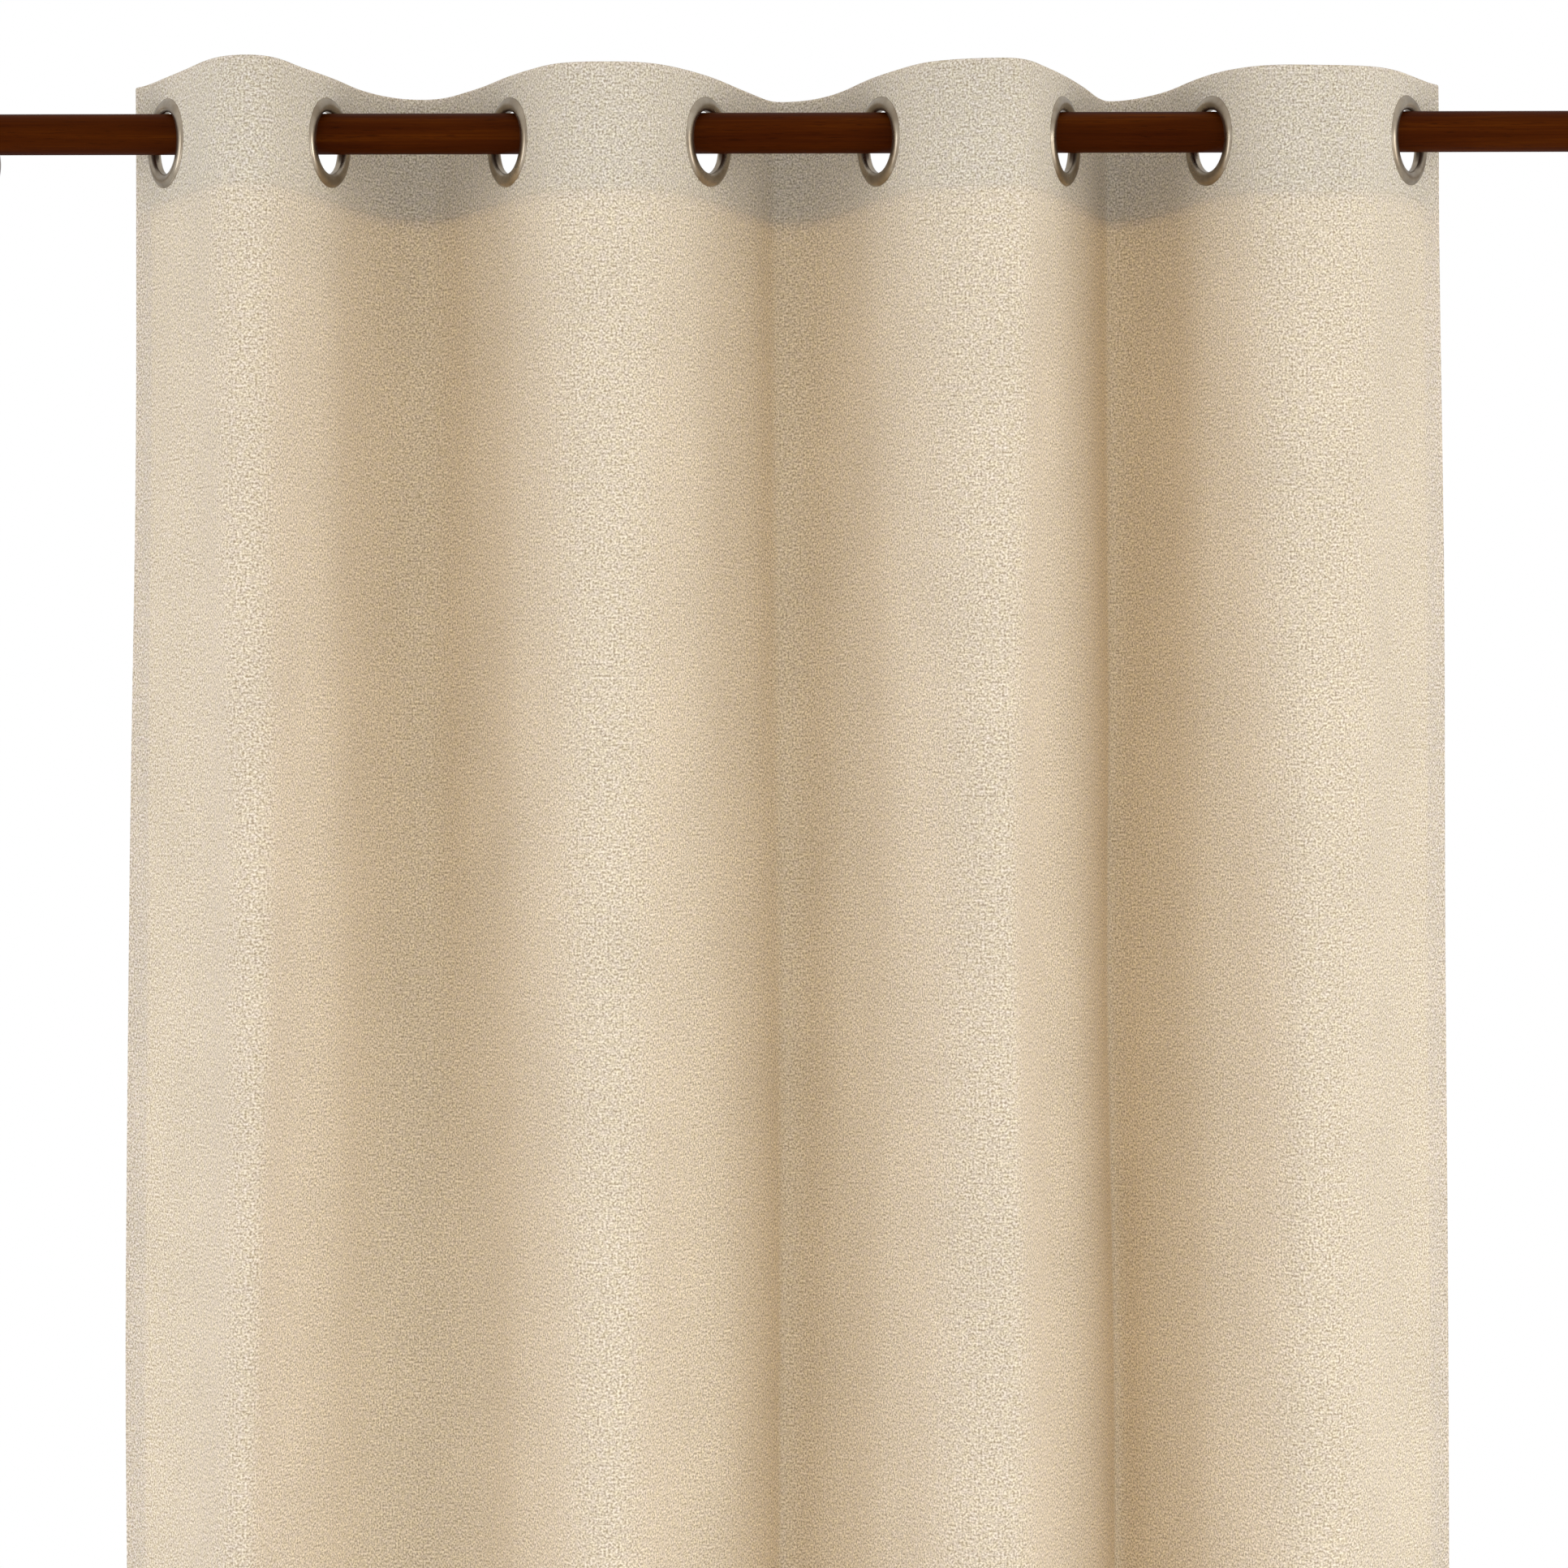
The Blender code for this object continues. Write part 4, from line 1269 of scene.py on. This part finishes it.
    def declare(self, slot: Slot, first: int | None, last: int | None) -> None:
        """Hide the packed panels that a length stands for.

        Args:
            slot: its finish.
            first: eyelet at its first column, if any.
            last: eyelet at its last column, if any.
        """
        stem = "cloth_panel" if slot is Slot.CLOTH else "heading_tape"
        nodes = [f"{stem}_{index + 1}" for index in (first, last) if index is not None]
        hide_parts(*nodes)


# --- Eyelets ------------------------------------------------------------------------

@dataclass
class Eyelet:
    """A metal eyelet: a domed front ring with its barrel, and the ring behind."""

    seat: EyeletSeat
    finishes: Finishes
    bore: float = 0.0190
    wall: float = 0.0014
    flange: float = 0.0085
    seat_height: float = 0.0012
    crown_height: float = 0.0036
    crown_at: float = 0.0044
    back_seat: float = 0.0016
    back_dome: float = 0.0020
    barrel_end: float = 0.0026
    flare: float = 0.0010

    def front_profile(self) -> Profile:
        """Outline of the front ring: mouth, crown, flank, rolled edge, seat and barrel."""
        crown_radius = self.bore + self.crown_at
        outer = self.bore + self.flange
        edge = 0.00035
        mouth = arc((crown_radius, 0.0010), self.crown_at, 180, 90, 14, rise=self.crown_height - 0.0010)
        flank = arc((crown_radius, self.seat_height + edge), outer - edge - crown_radius, 90, 12, 14,
                    rise=self.crown_height - self.seat_height - edge)
        rolled = arc((outer - edge, self.seat_height + edge), edge, 40, -90, 6)
        barrel = self.bore + self.wall
        flared = arc((self.bore + self.flare, -0.0010), self.flare, 270, 180, 8,
                     rise=self.barrel_end - 0.0010)
        tube = [(barrel, self.seat_height), (barrel, -self.barrel_end)]
        return [*mouth, *flank[1:], *rolled, *tube, *flared]

    def back_profile(self) -> Profile:
        """Outline of the ring behind."""
        outer = self.bore + self.flange - 0.0004
        inner = self.bore + self.wall + 0.0003
        dome = arc((outer - self.back_dome, -self.back_seat), self.back_dome, 0, -90, 10)
        roll = arc((inner + 0.0007, -self.back_seat - self.back_dome + 0.0007), 0.0007, -90, -180, 5)
        return [*dome, *roll, (inner, -self.back_seat)]

    def build(self) -> None:
        """Make both rings and let them follow their panel."""
        place = facing(self.seat.centre, self.seat.axis)
        number = self.seat.index
        for face, profile in (("front", self.front_profile()), ("back", self.back_profile())):
            ring = turned_piece(f"nickel_ring_{face}_{number}", profile, place, 96, ring=True)
            self.finishes.dress(ring, Slot.NICKEL)
            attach(ring, f"panel_{number}")
            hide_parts(f"eyelet_{face}_{number}")
        LOG.info("eyelet %d at x %.4f", number, self.seat.centre.x)


# --- Rod and finials ----------------------------------------------------------------

@dataclass
class CurtainRod:
    """The round rod, with eased ends and a blind bore in each."""

    finishes: Finishes
    ease: float = 0.0006
    bore: float = 0.0033
    bore_depth: float = 0.019
    stations: int = 60

    def build(self) -> bpy.types.Object:
        """Make the rod.

        Returns:
            The piece that the curtain hangs on.
        """
        low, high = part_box("rod")
        radius = (high.z - low.z) / 2
        length = high.x - low.x
        centre = (low + high) / 2
        half = length / 2
        profile = [(0.0, half - self.bore_depth), (self.bore, half - self.bore_depth), (self.bore, half)]
        profile += arc((radius - self.ease, half - self.ease), self.ease, 90, 0, 4)
        profile += [(radius, z) for z in np.linspace(half - 0.004, -half + 0.004, self.stations)]
        profile += arc((radius - self.ease, -half + self.ease), self.ease, 0, -90, 4)
        profile += [(self.bore, -half), (self.bore, self.bore_depth - half), (0.0, self.bore_depth - half)]
        piece = turned_piece("wooden_rod", profile, facing(centre, (1, 0, 0)), 96)
        self.finishes.dress(piece, Slot.WOOD)
        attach(piece, "rod")
        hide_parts("rod")
        LOG.info("rod: %.3f long, %.1f mm across", length, 2000 * radius)
        return piece


@dataclass
class Finial:
    """A turned ball end with a bead and two cut lines."""

    side: Side
    finishes: Finishes
    collar_radius: float = 0.0155
    collar_length: float = 0.0100
    neck_radius: float = 0.0095
    neck_length: float = 0.0080
    ball_radius: float = 0.0225
    bore: float = 0.0033
    bore_depth: float = 0.019
    groove: float = 0.0004

    def profile(self) -> Profile:
        """Outline from the ball's tip to the collar's base, with the base at height 0."""
        bead = self.collar_length / 4
        start = math.degrees(math.asin(self.neck_radius / self.ball_radius))
        neck_top = self.collar_length + self.neck_length
        centre = neck_top + self.ball_radius * math.cos(math.radians(start))
        ball = []
        for radius, height in arc((0.0, centre), self.ball_radius, 90, start - 90, 56):
            tilt = math.degrees(math.atan2(height - centre, max(radius, 0.0)))
            cut = sum(math.exp(-((tilt - line) / 1.5) ** 2) for line in (-6.0, 6.0))
            shrink = 1 - self.groove * cut / self.ball_radius
            ball.append((radius * shrink, centre + (height - centre) * shrink))
        ball[0] = (0.0, centre + self.ball_radius)
        rise = self.neck_length / 2
        neck = arc((self.neck_radius + 0.0012, self.collar_length + rise), 0.0012 + 0.0006, 90, 270, 10,
                   rise=rise - 0.0004)
        neck = [(max(radius, self.neck_radius - 0.0004), height) for radius, height in neck]
        upper = arc((self.collar_radius - bead, self.collar_length - bead), bead, 90, -90, 10)
        lower = arc((self.collar_radius - bead, bead), bead, 90, -90, 10)
        return [*ball, *neck, *upper, *lower[1:], (self.bore, 0.0), (self.bore, self.bore_depth),
                (0.0, self.bore_depth)]

    def build(self) -> None:
        """Make the finial and dress the screw inside it."""
        low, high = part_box(f"finial_{self.side.word}")
        centre = box_centre("rod")
        base = low.x if self.side is Side.RIGHT else high.x
        place = facing((base, centre.y, centre.z), (self.side.value, 0, 0))
        piece = turned_piece(f"turned_finial_{self.side.word}", self.profile(), place, 96)
        self.finishes.dress(piece, Slot.WOOD)
        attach(piece, "rod")
        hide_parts(f"finial_{self.side.word}")
        self.finishes.dress(frame["nodes"][f"finial_screw_{self.side.word}"], Slot.STEEL)
        LOG.info("finial %s", self.side.word)


# --- Wall brackets ------------------------------------------------------------------

@dataclass
class WallBracket:
    """Round plate, arm, open cup, wall screws and knurled thumb screw at one end."""

    side: Side
    finishes: Finishes
    plate_radius: float = 0.0320
    plate_thickness: float = 0.0050
    screw_spacing: float = 0.0440
    arm_radius: float = 0.0070
    collar_radius: float = 0.0120
    collar_length: float = 0.0080
    rod_radius: float = 0.0125
    gap: float = 0.0003
    cup_wall: float = 0.0032
    cup_width: float = 0.0200
    cup_rise: float = 0.0060
    boss_radius: float = 0.0058
    boss_length: float = 0.0040
    thumb_radius: float = 0.0070
    thumb_length: float = 0.0070
    thumb_shank: float = 0.0024
    head_gap: float = 0.0008
    screw_radius: float = 0.0021
    screw_head: float = 0.0042
    screw_length: float = 0.0380

    @property
    def x(self) -> float:
        """Middle of the bracket along the rod."""
        return box_centre(f"wall_plate_{self.side.word}").x

    @property
    def rod_y(self) -> float:
        """The rod's axis."""
        return box_centre("rod").y

    def keep(self, piece: bpy.types.Object, slot: Slot, node: str, body: str = "wall_brackets") -> None:
        """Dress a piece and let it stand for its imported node.

        Args:
            piece: the object.
            slot: its finish.
            node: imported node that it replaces.
            body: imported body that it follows.
        """
        self.finishes.dress(piece, slot)
        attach(piece, body)
        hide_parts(node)
        LOG.info("%s", piece.name)

    def hole(self, name: str, head: float, shank: float, length: float, place: Matrix) -> bpy.types.Object:
        """Cutter for a countersunk hole whose mouth is at the place's origin.

        Args:
            name: the cutter's name.
            head: mouth radius.
            shank: hole radius.
            length: depth.
            place: mouth, with +Z out of the hole.

        Returns:
            The cutter.
        """
        profile = [(0.0, 0.002), (head, 0.002), (head, -0.0004), (shank, -0.0004 - (head - shank)),
                   (shank, -length), (0.0, -length)]
        return turned_piece(name, profile, place, 48)

    def build_plate(self) -> None:
        """Round plate with an eased rim, a shallow step and its holes."""
        radius, front, edge = self.plate_radius, self.plate_thickness, 0.0014
        profile = [(0.0, front), (radius - 0.0062, front)]
        profile += arc((radius - 0.0050, front - 0.0001), 0.0008, 160, 90, 3, rise=0.0001)
        profile += arc((radius - edge, front - edge), edge, 90, 0, 8)
        profile += arc((radius - 0.0004, 0.0004), 0.0004, 0, -90, 3) + [(0.0, 0.0)]
        word = self.side.word
        plate = turned_piece(f"round_wall_plate_{word}", profile, facing((self.x, 0, 0), (0, -1, 0)), 128)
        cuts = []
        for sign, name in ((1, "top"), (-1, "bottom")):
            place = facing((self.x, -front, sign * self.screw_spacing / 2), (0, -1, 0))
            cuts.append(("DIFFERENCE", self.hole(f"hole_{word}_{name}", self.screw_head + self.gap,
                                                 self.screw_radius + self.gap, 0.010, place)))
        place = facing((self.x, 0, 0), (0, 1, 0))
        cuts.append(("DIFFERENCE", self.hole(f"hole_{word}_centre", 0.0058, 0.0031, 0.010, place)))
        shape_with(plate, cuts)
        self.keep(plate, Slot.NICKEL, f"wall_plate_{word}")

    def u_outline(self, radius: float, rise: float) -> Profile:
        """U shape about the rod's axis: down the front, round and up the back."""
        return [(-radius, rise), *arc((0.0, 0.0), radius, 180, 360, 40), (radius, rise)]

    def across_rod(self) -> Matrix:
        """Place for an outline drawn in (Y, Z) about the rod's axis."""
        turn = Matrix(((0, 0, 1, 0), (1, 0, 0, 0), (0, 1, 0, 0), (0, 0, 0, 1)))
        return Matrix.Translation((self.x, self.rod_y, 0)) @ turn

    def build_arm(self) -> None:
        """Round arm with a coved collar and an end that fits the cup."""
        back = self.plate_thickness + self.gap
        reach = abs(self.rod_y)
        cove = self.collar_radius - self.arm_radius
        end = back + self.collar_length
        profile = [(0.0, reach), (self.arm_radius, reach), (self.arm_radius, end + 0.001)]
        profile += arc((self.arm_radius + cove, end), cove * 0.75, 180, 270, 8)
        profile += arc((self.collar_radius - 0.0006, end - cove * 0.75 - 0.0009), 0.0006, 80, 0, 4)
        profile += arc((self.collar_radius - 0.0005, back + 0.0005), 0.0005, 0, -90, 3) + [(0.0, back)]
        profile = [(min(radius, self.collar_radius), height) for radius, height in profile]
        word = self.side.word
        arm = turned_piece(f"bracket_stem_{word}", profile, facing((self.x, 0, 0), (0, -1, 0)), 96)
        outer = self.rod_radius + self.gap + self.cup_wall + self.gap
        saddle = outline_piece(f"saddle_{word}", self.u_outline(outer, 0.02), 0.05, self.across_rod())
        shape_with(arm, [("DIFFERENCE", saddle)])
        self.keep(arm, Slot.NICKEL, f"bracket_arm_{word}")

    def build_cup(self) -> None:
        """Open cup with eased edges and the boss for the thumb screw."""
        inner = self.rod_radius + self.gap
        outer = inner + self.cup_wall
        outline = self.u_outline(outer, self.cup_rise) + self.u_outline(inner, self.cup_rise)[::-1]
        word = self.side.word
        cup = outline_piece(f"rod_cradle_{word}", outline, self.cup_width, self.across_rod())
        front = facing((self.x, self.rod_y - outer, 0), (0, -1, 0))
        depth = self.cup_wall / 2
        boss = turned_piece(f"boss_{word}", [(0.0, self.boss_length), (self.boss_radius, self.boss_length),
                                             (self.boss_radius, -depth), (0.0, -depth)], front, 64)
        thread = turned_piece(f"thread_{word}", [(0.0, 0.02), (self.thumb_shank + self.gap, 0.02),
                                                 (self.thumb_shank + self.gap, -0.006), (0.0, -0.006)],
                              front, 48)
        back = facing((self.x, self.rod_y + inner, 0), (0, -1, 0))
        bolt = self.hole(f"bolt_hole_{word}", 0.0040, 0.0022, 0.010, back)
        shape_with(cup, [("UNION", boss), ("DIFFERENCE", thread), ("DIFFERENCE", bolt)], edge=0.0005)
        self.keep(cup, Slot.NICKEL, f"rod_cup_{word}")

    def build_thumb_screw(self) -> None:
        """Knurled head with a dished face on a plain shank."""
        start = self.cup_wall + self.boss_length + self.head_gap
        top = start + self.thumb_length
        radius, edge = self.thumb_radius, 0.0008
        profile = [(0.0, top - 0.0007), *arc((0.0, top + 0.0120), 0.0132, 274, 292, 4)[1:]]
        profile = [(r, min(z, top)) for r, z in profile]
        profile += arc((radius - edge, top - edge), edge, 90, 0, 4)
        profile += [(radius, z) for z in np.linspace(top - edge - 0.0004, start + edge + 0.0004, 4)]
        profile += arc((radius - edge, start + edge), edge, 0, -90, 4)
        profile += [(self.thumb_shank, start), (self.thumb_shank, self.gap + 0.0004),
                    (self.thumb_shank - 0.0004, self.gap), (0.0, self.gap)]

        def knurl(radii: np.ndarray, heights: np.ndarray, angles: np.ndarray) -> np.ndarray:
            """Cut straight flutes in the rim."""
            rim = np.clip((radii - radius + 0.0010) / 0.0008, 0.0, 1.0)
            return radii - rim * 0.00045 * (0.5 - 0.5 * np.cos(28 * angles))

        place = facing((self.x, self.rod_y - self.rod_radius, 0), (0, -1, 0))
        word = self.side.word
        screw = turned_piece(f"knurled_screw_{word}", profile, place, 168, relief=knurl)
        self.keep(screw, Slot.NICKEL, f"thumb_screw_{word}", f"thumb_screw_{word}")

    def build_wall_screw(self, sign: int, name: str) -> None:
        """Countersunk wood screw with a cross recess and a real thread.

        Args:
            sign: 1 above the arm, -1 below it.
            name: the word for its place.
        """
        head, shank, length = self.screw_head, self.screw_radius, self.screw_length
        pitch, plain = 0.0017, 0.0085
        heights = np.linspace(-plain, -(length - 0.0070), 110)
        profile = [(0.0, 0.0), (head - 0.0002, 0.0), (head, -0.0002), (shank, -0.0002 - (head - shank)),
                   (shank, -plain + 0.0004), *[(shank, z) for z in heights]]
        profile += [(shank * (1 - share) + 0.0001, -(length - 0.0070) - 0.0068 * share)
                    for share in np.linspace(0.05, 1, 22)]
        profile += [(0.0, -length)]

        def thread(radii: np.ndarray, depths: np.ndarray, angles: np.ndarray) -> np.ndarray:
            """Wind a ridge down the shank."""
            turn = np.mod(depths / pitch - angles / math.tau, 1.0)
            ridge = np.maximum(0.0, 1 - np.abs(turn - 0.5) / 0.22)
            threaded = np.clip((-plain - depths) / 0.001, 0.0, 1.0) * (radii > 0.00005)
            return radii * (1 - threaded * 0.26 * (1 - ridge))

        word = self.side.word
        place = facing((self.x, -self.plate_thickness, sign * self.screw_spacing / 2), (0, -1, 0))
        screw = turned_piece(f"wood_screw_{word}_{name}", profile, place, 28, relief=thread)
        cuts = []
        for turn in (20.0, 110.0):
            blade = [(-0.0024, 0.0005), (-0.0013, -0.0018), (0.0013, -0.0018), (0.0024, 0.0005)]
            upright = Matrix.Rotation(math.radians(90), 4, "X")
            upright = Matrix.Rotation(math.radians(turn), 4, "Z") @ upright
            cuts.append(("DIFFERENCE", outline_piece(f"blade_{word}_{name}_{turn:.0f}", blade, 0.0008,
                                                     place @ upright)))
        shape_with(screw, cuts)
        self.keep(screw, Slot.STEEL, f"wall_screw_{word}_{name}")

    def build(self) -> None:
        """Make every piece of the bracket and dress its hidden bolts."""
        self.build_plate()
        self.build_arm()
        self.build_cup()
        self.build_thumb_screw()
        self.build_wall_screw(1, "top")
        self.build_wall_screw(-1, "bottom")
        for bolt in ("arm_bolt", "cup_bolt"):
            self.finishes.dress(frame["nodes"][f"{bolt}_{self.side.word}"], Slot.STEEL)


# --- Studio -------------------------------------------------------------------------

@dataclass
class Studio:
    """Pale floor, soft light and the camera."""

    floor_z: float = -2.478
    floor_size: float = 4.6
    floor_corner: float = 0.2
    floor_thickness: float = 0.02
    eye: tuple[float, float, float] = (-0.003, -2.570, -0.401)
    lens: float = 91.3
    roll: float = 0.13
    front_strength: float = 0.82
    back_strength: float = 0.62
    rise_strength: float = 0.12
    key_power: float = 48.0
    fill_power: float = 41.0

    def build_floor(self) -> None:
        """A pale square slab with round corners under the curtain."""
        inner = self.floor_size / 2 - self.floor_corner
        outline = []
        for x_sign, y_sign, start in ((1, 1, 0), (-1, 1, 90), (-1, -1, 180), (1, -1, 270)):
            for angle in np.radians(np.linspace(start, start + 90, 10)):
                outline.append((x_sign * inner + self.floor_corner * math.cos(angle),
                                y_sign * inner + self.floor_corner * math.sin(angle)))
        middle = Matrix.Translation((0, 0, self.floor_z - self.floor_thickness / 2))
        floor = outline_piece("pale_floor", outline, self.floor_thickness, middle)
        floor.data.materials.append(PaleFloor().build())

    def build_world(self) -> None:
        """White surroundings that light the cloth evenly from all round."""
        world = bpy.data.worlds.new("studio")
        bpy.context.scene.world = world
        world.use_nodes = True
        nodes, links = world.node_tree.nodes, world.node_tree.links
        nodes.clear()
        output = nodes.new("ShaderNodeOutputWorld")
        seen, lighting = nodes.new("ShaderNodeBackground"), nodes.new("ShaderNodeBackground")
        seen.inputs["Color"].default_value = (1.0, 1.0, 1.0, 1.0)
        lighting.inputs["Color"].default_value = (1.0, 1.0, 1.0, 1.0)
        direction = nodes.new("ShaderNodeTexCoord")
        parts = nodes.new("ShaderNodeSeparateXYZ")
        depth, rise, sum_up = (nodes.new("ShaderNodeMapRange"), nodes.new("ShaderNodeMapRange"),
                               nodes.new("ShaderNodeMath"))
        links.new(direction.outputs["Generated"], parts.inputs[0])
        settings = ((depth, "Y", (-0.2, 0.6), (self.front_strength, self.back_strength)),
                    (rise, "Z", (-1.0, 1.0), (-self.rise_strength, self.rise_strength)))
        for node, axis, ends, results in settings:
            links.new(parts.outputs[axis], node.inputs["Value"])
            for socket, value in zip(("From Min", "From Max", "To Min", "To Max"), (*ends, *results)):
                node.inputs[socket].default_value = value
            links.new(node.outputs["Result"], sum_up.inputs[0 if node is depth else 1])
        links.new(sum_up.outputs[0], lighting.inputs["Strength"])
        path, mix = nodes.new("ShaderNodeLightPath"), nodes.new("ShaderNodeMixShader")
        links.new(path.outputs["Is Camera Ray"], mix.inputs[0])
        links.new(lighting.outputs[0], mix.inputs[1])
        links.new(seen.outputs[0], mix.inputs[2])
        links.new(mix.outputs[0], output.inputs["Surface"])

    def add_light(self, name: str, place: Sequence[float], target: Sequence[float], size: float,
                  power: float, colour: Colour) -> None:
        """A soft square light.

        Args:
            name: the light's name.
            place: where it stands.
            target: what it points at.
            size: its side.
            power: its watts.
            colour: its colour.
        """
        data = bpy.data.lights.new(name, "AREA")
        data.shape = "SQUARE"
        data.size = size
        data.energy = power
        data.color = colour
        light = bpy.data.objects.new(name, data)
        light.location = place
        light.rotation_mode = "QUATERNION"
        light.rotation_quaternion = (Vector(target) - Vector(place)).to_track_quat("-Z", "Y")
        bpy.context.scene.collection.objects.link(light)

    def build_lights(self) -> None:
        """A broad key low on the right and a weaker fill low on the left."""
        self.add_light("key", (2.9, -1.9, -0.6), (0.1, -0.1, -1.0), 2.4, self.key_power,
                       (1.0, 1.0, 0.98))
        self.add_light("fill", (-3.0, -1.8, -0.7), (0.0, -0.1, -1.1), 2.6, self.fill_power,
                       (0.98, 1.0, 1.03))

    def build_camera(self) -> None:
        """The camera: level, in front of the curtain's upper third."""
        data = bpy.data.cameras.new("camera")
        data.lens = self.lens
        data.sensor_width = 36.0
        camera = bpy.data.objects.new("camera", data)
        level = Matrix.Rotation(math.radians(90), 4, "X")
        tilt = Matrix.Rotation(math.radians(self.roll), 4, "Y")
        camera.matrix_world = Matrix.Translation(self.eye) @ tilt @ level
        bpy.context.scene.collection.objects.link(camera)
        bpy.context.scene.camera = camera

    def build(self) -> None:
        """Set up the whole studio."""
        self.build_floor()
        self.build_world()
        self.build_lights()
        self.build_camera()
        bpy.context.scene.view_settings.view_transform = "Standard"
        LOG.info("studio")


def main() -> None:
    """Build every sub-assembly in order."""
    logging.basicConfig(level=logging.INFO, format="%(name)s: %(message)s")
    finishes = Finishes()
    Studio().build()
    rod = CurtainRod(finishes).build()
    for side in Side:
        Finial(side, finishes).build()
        WallBracket(side, finishes).build()
    seats = [EyeletSeat(index) for index in range(1, 9)]
    for seat in seats:
        Eyelet(seat, finishes).build()
    HangingCloth(FoldPlan(seats), finishes).build(rod)


if __name__ == "__main__":
    main()
